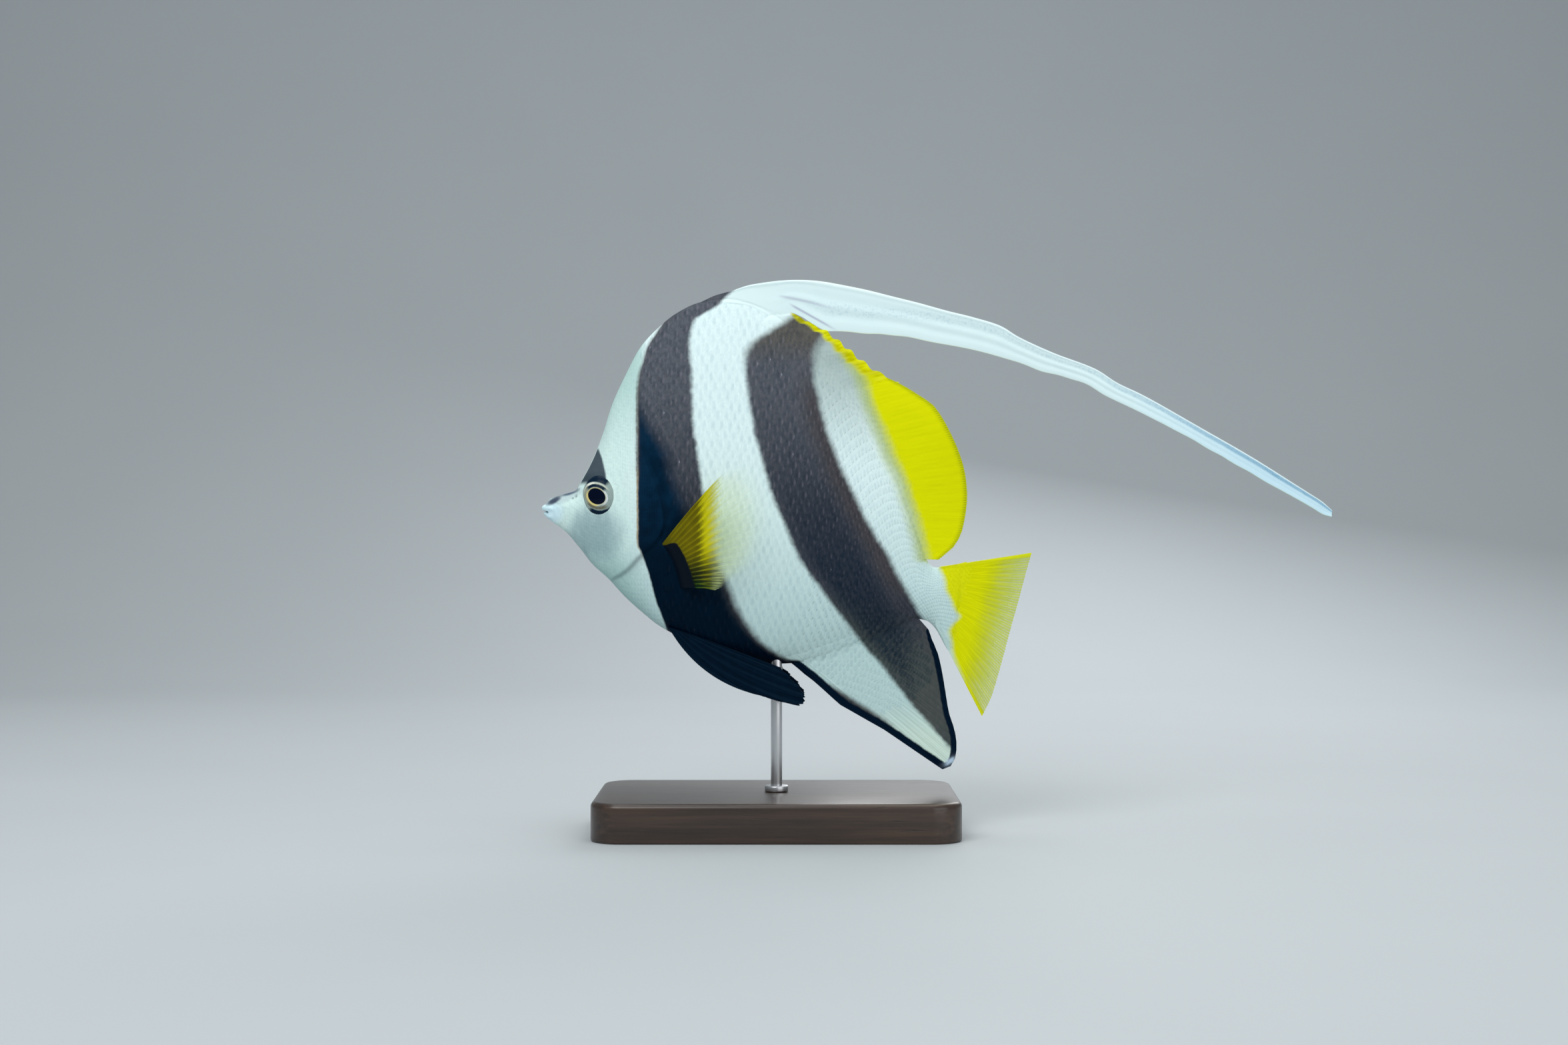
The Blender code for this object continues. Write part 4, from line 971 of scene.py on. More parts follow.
def finHalf(shape, share, pattern, ridge=0.26, thin=0.13, fade=2.2):
    # half the thickness: a fleshy root that thins to a membrane with raised rays
    v = share[None, :]
    raised = ridge * pattern * (1 - 0.6 * v) * ramp(0.2, 0.5, v)
    return thin + (shape["rootHalf"] - thin) * (1 - v) ** fade + raised


def rayedFan(shape, perRay):
    shares = np.linspace(0, 1, shape["rays"])
    roots, tips = alongLine(shape["root"], shares), alongLine(shape["margin"], shares)
    return fan(roots, tips, perRay, shape["rows"], shape["buried"], shape.get("bow", 0.0), shape["comb"])


def makeSoftDorsal(material):
    shape = finShape["softDorsal"]
    index, share, points, pattern = rayedFan(shape, 16)
    points = upright(points, swayOf(shape, index, share))
    half = finHalf(shape, share, pattern, 0.03) * (0.4 + 0.6 * ramp(0.2, 2.0, index))[:, None]
    half = grownFromBody(points, half)
    finPiece("softDorsalFin", points, half, pattern, material, "dorsal_fin_soft")
    return points, half


def makeAnal(material):
    shape = finShape["anal"]
    roots = alongLine(shape["root"], np.linspace(0, 1, 3 + shape["rays"]))
    tips = np.vstack([shape["spines"], alongLine(shape["margin"], np.linspace(0, 1, shape["rays"]))])
    index, share, points, pattern = fan(
        roots, tips, 16, shape["rows"], shape["buried"], shape["bow"], shape["comb"]
    )
    spiny = 1 - ramp(2.4, 3.0, index)[:, None]
    q = (index - np.round(index))[:, None]
    pattern = pattern * (1 - spiny) + bell(q, 0.15 - 0.06 * share[None, :]) * spiny
    points = upright(points, swayOf(shape, index, share))
    half = finHalf(shape, share, pattern, 0.10, 0.14, 1.5) + 0.2 * spiny * pattern * (1 - share[None, :])
    half = grownFromBody(points, half)
    finPiece("analFin", points, half, pattern, material, "anal_fin", 3 * 16)
    return points, half


def makeCaudal(material):
    shape = finShape["caudal"]
    index, share, points, pattern = rayedFan(shape, 20)
    outer = bell(index, 0.8) + bell(index - index[-1], 0.8)
    points = upright(points, swayOf(shape, index, share))
    bulge = np.sin(math.pi * (index + 1) / (index[-1] + 2))[:, None] ** 0.6
    half = finHalf(shape, share, pattern, 0.12, 0.12, 2.6) + 0.9 * bulge * (1 - share[None, :]) ** 3
    half = grownFromBody(points, half + 0.25 * outer[:, None] * (1 - share[None, :]), 1.2)
    finPiece("tailFin", points, half, pattern, material, "caudal_fin")
    return points, half


def makePectoral(sideSign, name, node, material):
    shape = finShape["pectoral"]
    index, share, points, pattern = rayedFan(shape, 14)
    reach = np.linalg.norm(points - points[:, :1], axis=2)
    y = shape["rootY"] + shape["swell"] * (1 - np.exp(-reach / shape["swellOver"]))
    y = y + reach * math.tan(math.radians(shape["spread"]))
    y = y + 0.15 * np.cos(2 * math.pi * index)[:, None] * share[None, :]
    pattern = pattern * ramp(3.0, 6.5, reach)
    half = finHalf(shape, share, pattern, 0.12, 0.12, 4.0)
    points = upright(points, sideSign * y)
    finPiece(name, points, half, pattern, material, node)


pelvicShape = {
    "roots": [(-40.8, 78.6), (-39.2, 78.2), (-37.6, 77.8), (-36.0, 77.4), (-34.4, 77.0), (-32.8, 76.6)],
    "tips": [(-11.5, 54.4), (9.2, 49.2), (11.2, 52.4), (8.6, 56.6), (4.8, 60.5), (1.0, 64.2)],
    "bows": [-0.10, -0.085, -0.06, -0.03, -0.01, 0.0],
    "innerY": 4.0,
    "splay": 7.0,
}


def makePelvic(sideSign, name, node, material):
    shape = pelvicShape
    index, share, points, pattern = fan(shape["roots"], shape["tips"], 18, 40, 1.5)
    bows = np.interp(index, np.arange(6), shape["bows"])[:, None]
    v = share[None, :]
    chord = points[:, -1:] - points[:, :1]
    across = np.stack([-chord[..., 1], chord[..., 0]], axis=-1)
    points = points + across * (bows * 4 * v * (1 - v))[..., None]
    reach = np.linalg.norm(points - points[:, :1], axis=2)
    y = shape["innerY"] + reach * math.tan(math.radians(shape["splay"])) + 1.2 * index[:, None] / 5
    y = y + 0.15 * np.cos(2 * math.pi * index)[:, None] * v
    spine = bell(index, 0.5)[:, None] * (1 - v)
    ragged = 0.5 * np.sin(index * 7.3) + 0.3 * np.sin(index * 17.1 + 1.0)
    points = points - unitRows(points[:, -1:] - points[:, :1]) * (ragged[:, None] * v**6)[..., None]
    half = 0.14 + 1.0 * (1 - v) ** 2 + 0.12 * pattern * (1 - 0.6 * v) + 0.35 * spine
    finPiece(name, upright(points, sideSign * y), half, pattern, material, node)


spinyShape = {
    "roots": [
        (-4.6, 203.4), (0.8, 199.9), (6.5, 195.3), (10.1, 192.1), (14.0, 188.2), (17.7, 184.1), (21.3, 179.9),
        (25.2, 175.2), (29.1, 169.8),
    ],
    "tips": [
        (1.0, 203.6), (7.0, 201.2), (13.3, 198.3), (19.5, 194.9), (24.4, 191.2), (29.0, 187.3), (34.1, 183.0),
        (40.0, 178.9), (48.1, 174.7),
    ],
    "notch": 0.07,
}


def makeSpinyDorsal(material):
    shape = spinyShape
    index, share, points, pattern = fan(shape["roots"], shape["tips"], 18, 40, 8.0)
    part = index - np.floor(index + 1e-9)
    cut = np.where(part < 0.8, ramp(0, 0.8, part), ramp(1.0, 0.8, part))
    cut = shape["notch"] * cut * ramp(1.0, 2.0, index)
    roots = points[:, :1]
    v = share[None, :]
    points = roots + (points - roots) * (1 - cut[:, None] * v**2)[..., None]
    last = ramp(index[-1] - 2, index[-1], index)[:, None]
    sway = finShape["softDorsal"]["sway"] * math.sin(finShape["softDorsal"]["start"])
    y = 0.30 * np.cos(math.pi * index)[:, None] * (1 - last) * v + sway * last * v**2
    q = (index - np.round(index))[:, None]
    pattern = bell(q, 0.13) + 0 * v
    half = 0.15 + 1.0 * (1 - v) ** 1.4 + 0.22 * pattern * (1 - 0.6 * v) * ramp(0.55, 0.9, v)
    half = half * (1 - 0.65 * ramp(index[-1] - 1.2, index[-1], index))[:, None]
    points = upright(points, y)
    half = grownFromBody(points, half) * (0.04 + 0.96 * ramp(0.0, 1.2, index))[:, None]
    finPiece("spinyDorsalFin", points, half, pattern, material, "dorsal_fin_spiny")
    return points, half


banner = {
    "top": [
        (-30.5, 205.4), (-27.2, 207.0), (-23.6, 208.6), (-17.4, 210.3), (-11.7, 212.2), (-6.5, 213.2),
        (1.3, 214.2), (9.1, 214.5), (16.9, 214.0), (24.7, 212.7), (35.1, 210.6), (45.5, 208.0),
        (55.9, 205.4), (66.3, 202.5), (76.7, 199.9), (87.1, 196.6), (94.9, 191.9), (107.9, 185.9),
        (123.5, 179.9), (132.6, 174.2), (144.3, 168.5), (165.1, 156.8),
        (185.9, 145.1), (206.7, 132.3), (213.2, 128.2), (217.4, 124.6),
    ],
    "foot": [
        (-29.5, 201.5), (-26.0, 203.0), (-19.0, 204.4), (-10.0, 202.6), (-3.0, 198.4), (1.4, 199.6),
        (5.0, 201.8), (9.4, 200.3), (14.0, 197.4), (18.6, 195.0), (22.6, 194.6), (27.7, 194.2),
        (35.7, 193.6), (48.1, 192.7), (55.6, 191.3), (68.9, 188.8), (81.9, 185.9), (92.3, 183.0),
        (102.7, 179.1), (118.3, 174.7), (128.7, 169.0), (144.3, 161.2), (154.7, 156.0), (175.5, 144.3),
        (196.3, 132.6), (208.7, 125.9), (213.2, 123.3), (216.9, 122.2),
    ],
    "stations": 300,
    "rows": 40,
    "foldPlaces": [0.0, 0.16, 0.34, 0.5, 0.66, 0.84, 0.95, 1.0],
    "folds": [-0.4, -0.5, 0.3, -0.6, 0.5, -0.1, 0.0, 0.0],
    "sway": 3.5,
    "foldHeight": 0.45,
}


def makeBanner(material):
    shares = np.linspace(0, 1, banner["stations"] + 1)
    v = np.linspace(0, 1, banner["rows"] + 1)[None, :]
    foot, top = alongLine(banner["foot"], shares), alongLine(banner["top"], shares)
    points = foot[:, None] + (top - foot)[:, None] * v[..., None]
    f = shares[:, None]
    folds = smoothLine(v, list(zip(banner["foldPlaces"], banner["folds"])))
    y = banner["sway"] * ramp(0.15, 1.0, f) * np.sin(2 * math.pi * (1.1 * f + 0.12 * v))
    y = y + banner["foldHeight"] * folds * ramp(0.08, 0.22, f) * (1 - 0.6 * f)
    edge = 0.12 * np.sin(f * 95 + 2 * np.sin(f * 23)) * (1 - v) ** 3 * ramp(0.14, 0.2, f)
    points[..., 1] += edge
    half = 0.24 + 0.8 * (1 - ramp(0.07, 0.19, f)) * (1 - v) * (0.1 + 0.9 * ramp(0.0, 0.35, v))
    half = half + (0.45 * bell(v - 0.955, 0.045) + 0.05) * (1 - 0.75 * f) * ramp(0.0, 0.1, f)
    half = half * (1 - 0.35 * bell(v, 0.05) * ramp(0.14, 0.2, f))
    pattern = 0.5 + 0.5 * np.sin(2 * math.pi * (v * 11 + 0.8 * np.sin(f * 14)))
    points = upright(points, y)
    half = grownFromBody(points, half, 2.0) * (0.04 + 0.96 * ramp(0.0, 0.05, f))
    inside = np.array([bodyHalf(x, z) for x, z in points[:, 0, [0, 2]]])[:, None]
    half = half * (1 - 0.96 * bell(v, 0.12) * ramp(0.0, 0.5, inside))
    finPiece("pennant", points, half, pattern, material, "dorsal_banner")


def finShine(paint, colour, ray, alpha=None, base=0.42, depth=0.08):
    fine = paint.noise(0.5, 3.0)
    height = fine * 0.5 + ray * 0.5
    return paint.finish(colour, base + fine * 0.14 - ray * 0.06, height, depth, alpha)


yellowGloss = {"Specular IOR Level": 0.08, "Specular Tint": (1.0, 0.9, 0.25)}


def finStreaks(paint, colour, strength):
    # fine darker and lighter streaks along the rays
    spot = paint.node("ShaderNodeUVMap", {"uv_map": "finMap"})
    streak = paint.noise(26.0, 3.0, (1.0, 16.0, 1.0), spot)
    return paint.tinted(paint.rise(streak, 0.42, 0.70) * strength, colour, (0.74, 0.76, 0.72))


def softDorsalPaint():
    # the body's colours carried on, with a fine olive comb along the margin
    paint = Paint("softFinYellow", yellowGloss)
    marks = bodyColours(paint)
    ray, fromEdge = paint.attribute("ray"), paint.attribute("fromEdge")
    colour = finStreaks(paint, marks["colour"], marks["yellow"] * 0.16)
    colour = paint.blend((1 - paint.rise(fromEdge, 0.8, 2.8)) * 0.35, colour, (0.42, 0.47, 0.004))
    colour = paint.blend((1 - paint.rise(fromEdge, 0.3, 1.9)) * (1 - ray) * 0.55, colour, (0.13, 0.18, 0.008))
    return finShine(paint, colour, ray * 0.3, None, 0.42, 0.03)


def analFinPaint():
    # white and grey like the body, with black rims in front and behind and a bluish white tip
    paint = Paint("analFinDark", skinGloss)
    marks = bodyColours(paint, True)
    z = paint.place()[2]
    ray = paint.attribute("ray") * paint.rise(z, 66, 50)
    colour = finStreaks(paint, marks["colour"], paint.rise(z, 68, 46) * 0.30)
    white = 1 - marks["dark"]
    colour = paint.blend(paint.rise(z, 50, 34) * white * 0.6, colour, (0.68, 0.84, 0.70))
    colour = paint.blend(ray * white * 0.16, colour, (0.66, 0.80, 0.70))
    colour = paint.blend(ray * marks["dark"] * 0.14, colour, (0.12, 0.125, 0.12))
    warm = paint.rise(z, 88, 66) * paint.rise(z, 30, 45)
    colour = paint.blend(warm * marks["dark"] * 0.35, colour, (0.090, 0.090, 0.080))
    return finShine(paint, analRims(paint, colour), ray * 0.5)


def analRims(paint, colour):
    fromFront, fromRear = paint.attribute("fromFront"), paint.attribute("fromRear")
    x, _, z = paint.place()
    rough = (paint.noise(2.2, 2.0) - 0.5) * 0.6
    front = (1 - paint.rise(fromFront + rough, 2.3, 3.1)) * (1 - paint.rise(z, 65.6, 67.0))
    rear = 1 - paint.rise((fromRear + rough) / (1.1 + 1.1 * paint.rise(z, 79, 66)), 0.85, 1.15)
    colour = paint.blend(paint.maths("MAXIMUM", rear, front), colour, (0.0006, 0.005, 0.016))
    tip = bellOf((x - 67.6) / 1.7) * bellOf((z - 26.9 - (x - 67.6) * 0.5) / 1.0)
    return paint.blend(tip * 0.85, colour, (0.55, 0.72, 0.88))


def spinyPaint():
    # the body's colours up to a yellow strip along the margin
    paint = Paint("spinyYellow", yellowGloss)
    marks = bodyColours(paint)
    ray, fromEdge = paint.attribute("ray"), paint.attribute("fromEdge")
    x, _, z = paint.place()
    wide = 2.3 + paint.rise(x, 12, 30) * 2.6
    rough = paint.noise(1.6, 2.0) - 0.5
    strip = (1 - paint.rise((fromEdge + rough * 1.2) / wide, 0.5, 1.3)) * paint.rise(x + z * 0.3, 65.4, 67.4)
    colour = paint.blend(strip, marks["colour"], (0.72, 0.735, 0.001))
    olive = (1 - paint.rise(x, 9, 15)) * strip
    colour = paint.blend(olive * 0.6, colour, (0.20, 0.16, 0.02))
    spot = paint.node("ShaderNodeUVMap", {"uv_map": "finMap"})
    strokes = paint.noise(60.0, 2.0, (1.0, 8.0, 1.0), spot)
    colour = paint.blend(paint.rise(strokes, 0.45, 0.62) * strip * 0.6, colour, (0.40, 0.36, 0.0))
    pale = ray * 0.5 + paint.rise(strokes, 0.50, 0.36) * 0.5
    colour = paint.blend(pale * strip, colour, (0.90, 0.90, 0.03))
    return finShine(paint, colour, ray * 0.6, None, 0.42)


def tailFinPaint():
    paint = Paint("tailFinYellow", yellowGloss)
    marks = bodyColours(paint)
    colour, yellow = finStreaks(paint, marks["colour"], 0.35), marks["yellow"]
    u, v = paint.mapAt("finMap")
    ray = paint.attribute("ray")
    colour = paint.blend(paint.rise(v, 0.45, 0.95) * yellow * 0.8, colour, (0.52, 0.62, 0.02))
    outer = paint.rise(abs(u - 0.5), 0.462, 0.49)
    colour = paint.blend(outer * 0.7 * yellow, colour, (0.74, 0.76, 0.01))
    colour = paint.blend((1 - ray) * yellow * 0.12, colour, (0.36, 0.42, 0.005))
    far = paint.rise(v + (paint.noise(6.0, 2.0) - 0.5) * 0.18, 0.50, 0.98)
    alpha = 1 - far * (1 - ray * 0.5) * (1 - outer) * 0.72
    return finShine(paint, colour, ray * 0.5, alpha)


def pectoralPaint():
    # a dark lobe, then golden rays and membrane that clear beyond the dark band
    paint = Paint("pectoralYellow", yellowGloss)
    x = paint.place()[0]
    u, v = paint.mapAt("finMap")
    ray, reach = paint.attribute("ray"), paint.attribute("reach")
    speck = paint.noise(1.0, 3.0) - 0.5
    lobe = 1 - paint.rise(reach + speck * 0.6 - paint.rise(u, 0.0, 0.22) * 4.6, 0.3, 1.0)
    bright = paint.rise(x + speck * 1.5 + ray * 1.5, -30.0, -26.0) * 0.85
    clear = paint.rise(x + speck * 1.5 - ray * 1.4, -27.0, -20.5)
    low = paint.rise(u, 0.42, 0.80)
    gold = paint.blend(ray * 0.5 + paint.noise(3.0, 2.0) * 0.4, (0.10, 0.085, 0.004), (0.27, 0.235, 0.005))
    gold = paint.blend(low * 0.85, gold, (0.035, 0.055, 0.012))
    colour = paint.blend(bright * (1 - low * 0.75), gold, (0.70, 0.66, 0.008))
    colour = paint.blend(paint.rise(u, 0.80, 0.97) * (1 - bright * 0.4), colour, (0.03, 0.08, 0.01))
    colour = paint.blend(clear, colour, (0.74, 0.88, 0.42))
    gap = paint.rise(1 - ray, 0.25, 0.85) * low
    alpha = (0.92 - gap * 0.75) * (1 - clear)
    alpha = alpha + clear * (0.17 + ray * 0.08) * (1 - paint.rise(v, 0.55, 1.0))
    colour = paint.blend(lobe, colour, (0.0003, 0.0042, 0.013))
    return finShine(paint, colour, ray * (1 - lobe) * 0.6, paint.maths("MAXIMUM", alpha, lobe), 0.4)


def darkFinPaint():
    paint = Paint("pelvicNavy", skinGloss)
    ray = paint.attribute("ray")
    mottle = paint.noise(2.5, 3.0)
    colour = paint.blend(mottle, (0.0003, 0.0022, 0.008), (0.001, 0.007, 0.020))
    colour = paint.blend(ray * 0.2, colour, (0.004, 0.016, 0.034))
    return finShine(paint, colour, ray * 0.5, None, 0.44)


def pennantPaint():
    paint = Paint("pennantWhite", skinGloss)
    f, v = paint.mapAt("finMap")
    fold = paint.attribute("ray")
    x, _, z = paint.place()
    mottle = paint.noise(3.0, 3.0, (3.0, 1.0, 1.0), twist=-0.45)
    speck = paint.rise(paint.noise(0.9, 3.0), 0.45, 0.7)
    colour = paint.blend(mottle * 0.5, (0.77, 0.93, 0.93), (0.68, 0.86, 0.88))
    # a faint grey streak of specks and painted shade along the middle fold, low at the root and nearing the
    # upper edge towards the tip, deeper far out
    centre = 0.46 + paint.rise(f, 0.20, 0.42) * 0.34
    streak = bellOf((v - centre + (mottle - 0.5) * 0.12) / 0.13) * paint.rise(f, 0.14, 0.22)
    far = paint.rise(f, 0.55, 0.9)
    colour = paint.blend(far * 0.5, colour, (0.40, 0.66, 0.84))
    colour = paint.blend(streak * (0.08 + 0.20 * speck + far * 0.65), colour, (0.20, 0.40, 0.56))
    # painted shade along two creases that fade out behind the root, the lower one a painted shadow just above
    # the lower edge
    crease = bellOf((z - 208.3 + x * 0.14 + x * x * 0.004) / 0.5)
    crease = crease * paint.rise(x, -1, 4) * (1 - paint.rise(x, 11, 27))
    lower = bellOf((z - 203.3 + (x - 8.3) * 0.56) / 0.45)
    lower = lower * paint.rise(x, 4, 8) * (1 - paint.rise(x, 17, 25))
    colour = paint.blend(crease * 0.4 + lower * 0.6, colour, (0.30, 0.31, 0.47))
    marks = bodyColours(paint)
    colour = paint.blend(1 - paint.rise(x, -8, 5), colour, marks["colour"])
    colour = paint.blend(paint.rise(v, 0.90, 0.95) * paint.rise(f, 0.1, 0.2) * 0.9, colour, (0.84, 0.99, 1.0))
    rim = (1 - paint.rise(v, 0.0, 0.03)) * paint.rise(x, 20, 26)
    colour = paint.blend(rim * 0.45, colour, (0.60, 0.66, 0.26))
    return finShine(paint, colour, fold * 0.3, None, 0.42, 0.02)


softDorsal = makeSoftDorsal(softDorsalPaint())
analFin = makeAnal(analFinPaint())
tailFin = makeCaudal(tailFinPaint())
print("middle fins made")

pectoralMaterial = pectoralPaint()
makePectoral(-1, "pectoralFinLeft", "pectoral_fin_left", pectoralMaterial)
makePectoral(1, "pectoralFinRight", "pectoral_fin_right", pectoralMaterial)
pelvicMaterial = darkFinPaint()
makePelvic(-1, "pelvicFinLeft", "pelvic_fin_left", pelvicMaterial)
makePelvic(1, "pelvicFinRight", "pelvic_fin_right", pelvicMaterial)
spinyDorsal = makeSpinyDorsal(spinyPaint())
makeBanner(pennantPaint())
print("paired fins, spines and pennant made")


# Eyes

eye = {
    "centre": (-68.35, 7.7, 130.0),
    "radius": 7.0,
    "halfTall": 8.2,
    "halfDepth": 3.8,
    "turn": 16.0,
    "pupil": (3.60, 3.12),
}
eyeColours = {
    "pupil": (0.0003, 0.003, 0.014),
    "dark": (0.0010, 0.012, 0.030),
    "grey": (0.22, 0.31, 0.29),
    "paleGrey": (0.40, 0.50, 0.48),
    "white": (0.66, 0.71, 0.71),
    "gold": (0.74, 0.63, 0.24),
    "dimGold": (0.36, 0.33, 0.19),
    "cream": (0.62, 0.64, 0.50),
    "brown": (0.13, 0.115, 0.06),
}


def eyePaint():
    # painted round the pupil: ring is 1 at its edge and about 1.7 to 2.3 at the edge of the orbit
    paint = Paint("eye", {"Coat Weight": 0.05, "Coat Roughness": 0.10, "Specular IOR Level": 0.06})
    look = eyeColours
    u, v = paint.mapAt("eyeMap")
    a, b = (u - 0.5) * 2 * eye["radius"], (v - 0.5) * 2 * eye["halfTall"]
    wide, tall = eye["pupil"]
    lean = a * 0.16
    ring = ((a / wide) ** 2 + ((b + lean) / tall) ** 2) ** 0.5
    far = (a**2 + b**2) ** 0.5 + 0.01
    streaks = paint.noise(0.7, 3.0)
    rough = (streaks - 0.5) * 0.12

    def towards(degrees, inner, outer):
        # 1 within the inner angle of a direction and 0 beyond the outer one
        way = math.radians(degrees)
        share = (a * math.cos(way) + b * math.sin(way)) / far
        return paint.rise(share, math.cos(math.radians(outer)), math.cos(math.radians(inner)))

    def between(low, high, soft=0.055):
        inside = 1 - paint.rise(ring + rough, high - soft, high + soft)
        return paint.rise(ring + rough, low - soft, low + soft) * inside

    iris = paint.blend(streaks, look["grey"], look["paleGrey"])
    fine = paint.rise(paint.maths("SINE", ring * 38 + streaks * 3), -0.2, 0.9)
    iris = paint.blend(fine * 0.18, iris, look["brown"])
    iris = paint.blend(towards(-8, 18, 58) * between(1.04, 1.24, 0.06), iris, look["white"])
    iris = paint.blend(towards(196, 40, 75) * between(1.22, 1.50, 0.05) * 0.6, iris, look["dimGold"])
    # above the pupil: a dark band, a pale arc and the dark cap; below it a brown band and a dark crescent
    iris = paint.blend(towards(90, 42, 64) * between(1.14, 1.50), iris, look["dark"])
    iris = paint.blend(towards(98, 55, 80) * between(1.53, 1.70) * 0.7, iris, look["cream"])
    iris = paint.blend(towards(118, 8, 22) * between(1.50, 1.74), iris, (0.78, 0.80, 0.70))
    iris = paint.blend(towards(93, 34, 50) * paint.rise(ring + rough, 1.70, 1.84), iris, look["dark"])
    iris = paint.blend(towards(-95, 35, 62) * between(1.26, 1.60, 0.08) * 0.85, iris, look["brown"])
    iris = paint.blend(towards(-82, 30, 50) * paint.rise(ring + rough * 2, 1.62, 1.80), iris, look["dark"])
    # a thin gold line round the pupil, thick and bright below in front
    thick = towards(218, 35, 85)
    gold = paint.blend(towards(90, 50, 95) * 0.6, look["gold"], look["dimGold"])
    gold = paint.blend(towards(-20, 40, 80), gold, look["cream"])
    line = 1 - paint.rise((ring - 1) / (0.09 + thick * 0.16), 0.85, 1.1)
    iris = paint.blend(line, iris, gold)
    pupil = paint.rise(ring, 0.975, 1.015)
    colour = paint.blend(pupil, look["pupil"], iris)
    return paint.finish(colour, 0.14 + pupil * 0.2, streaks, 0.01)


def makeEye(sideSign, name, node, material):
    radius = eye["radius"]
    bpy.ops.object.select_all(action="DESELECT")
    bpy.ops.mesh.primitive_uv_sphere_add(segments=96, ring_count=64, radius=radius * mm)
    ball = named(name)
    points = readPoints(ball)
    across, up, out = points.T
    up, out = up * eye["halfTall"] / radius, out * eye["halfDepth"] / radius
    turn = math.radians(eye["turn"])
    ball.data.uv_layers[0].name = "eyeMap"
    corners = np.zeros(len(ball.data.loops), np.int32)
    ball.data.loops.foreach_get("vertex_index", corners)
    spots = np.stack([0.5 + across / (2 * radius), 0.5 + up / (2 * eye["halfTall"])], axis=1)[corners]
    ball.data.uv_layers[0].data.foreach_set("uv", spots.astype(np.float32).ravel())
    # the eye looks out to its side and a little forward
    forward = across * math.cos(turn) - out * math.sin(turn)
    outward = across * math.sin(turn) + out * math.cos(turn)
    x, y, z = eye["centre"]
    writePoints(ball, np.stack([x + forward, sideSign * (y + outward), z + up], axis=1))
    tidyMesh(ball, angle=60)
    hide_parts(node)
    return painted(ball, material)


eyeMaterial = eyePaint()
makeEye(-1, "eyeLeft", "eye_left", eyeMaterial)
makeEye(1, "eyeRight", "eye_right", eyeMaterial)
print("eyes made")


# Scales

scales = {
    # pitch is the step along a row, and the flank's rows lie between its widest height and its outline
    "flank": {"rowsUp": 24, "rowsDown": 15, "lift": 1.0},
    "head": {"pitch": 0.95, "tall": 1.45, "lift": 0.34},
    "breast": {"pitch": 1.25, "tall": 2.1, "lift": 0.5},
    "length": 2.3,  # in pitches
    "halfWidth": 0.59,  # in heights
    "profile": [(0.0, -0.12), (0.35, -0.035), (0.60, 0.035), (0.80, 0.066), (0.92, 0.042), (1.0, -0.028)],
    "lean": 0.06,
    "sideDrop": 0.065,
    "flankLength": 1.55,  # in pitches, where the rows part
}


def scaleTemplate():
    # one scale from root to free edge: shares along and across, and its faces, closed below
    along = [0.0, 0.28, 0.52, 0.74, 0.90, 1.0]
    across = [-1.0, -0.68, -0.35, 0.0, 0.35, 0.68, 1.0]
    rows, columns = len(along), len(across)
    u, v = np.meshgrid(along, across, indexing="ij")
    outline = np.sqrt(np.clip(1 - (np.abs(u - 0.50) / 0.62) ** 2.4, 0, 1))
    bent = u - 0.26 * v**2 * u
    spots = np.stack([bent.ravel(), (v * outline).ravel(), np.abs(v).ravel(), u.ravel()], axis=1)
    faces = []
    for a in range(rows - 1):
        for b in range(columns - 1):
            k = a * columns + b
            faces.append((k, k + 1, k + columns + 1, k + columns))
    border = [b for b in range(columns)] + [a * columns + columns - 1 for a in range(1, rows)]
    border += [(rows - 1) * columns + b for b in range(columns - 2, -1, -1)]
    border += [a * columns for a in range(rows - 2, 0, -1)]
    faces.append(tuple(reversed(border)))
    return spots, faces


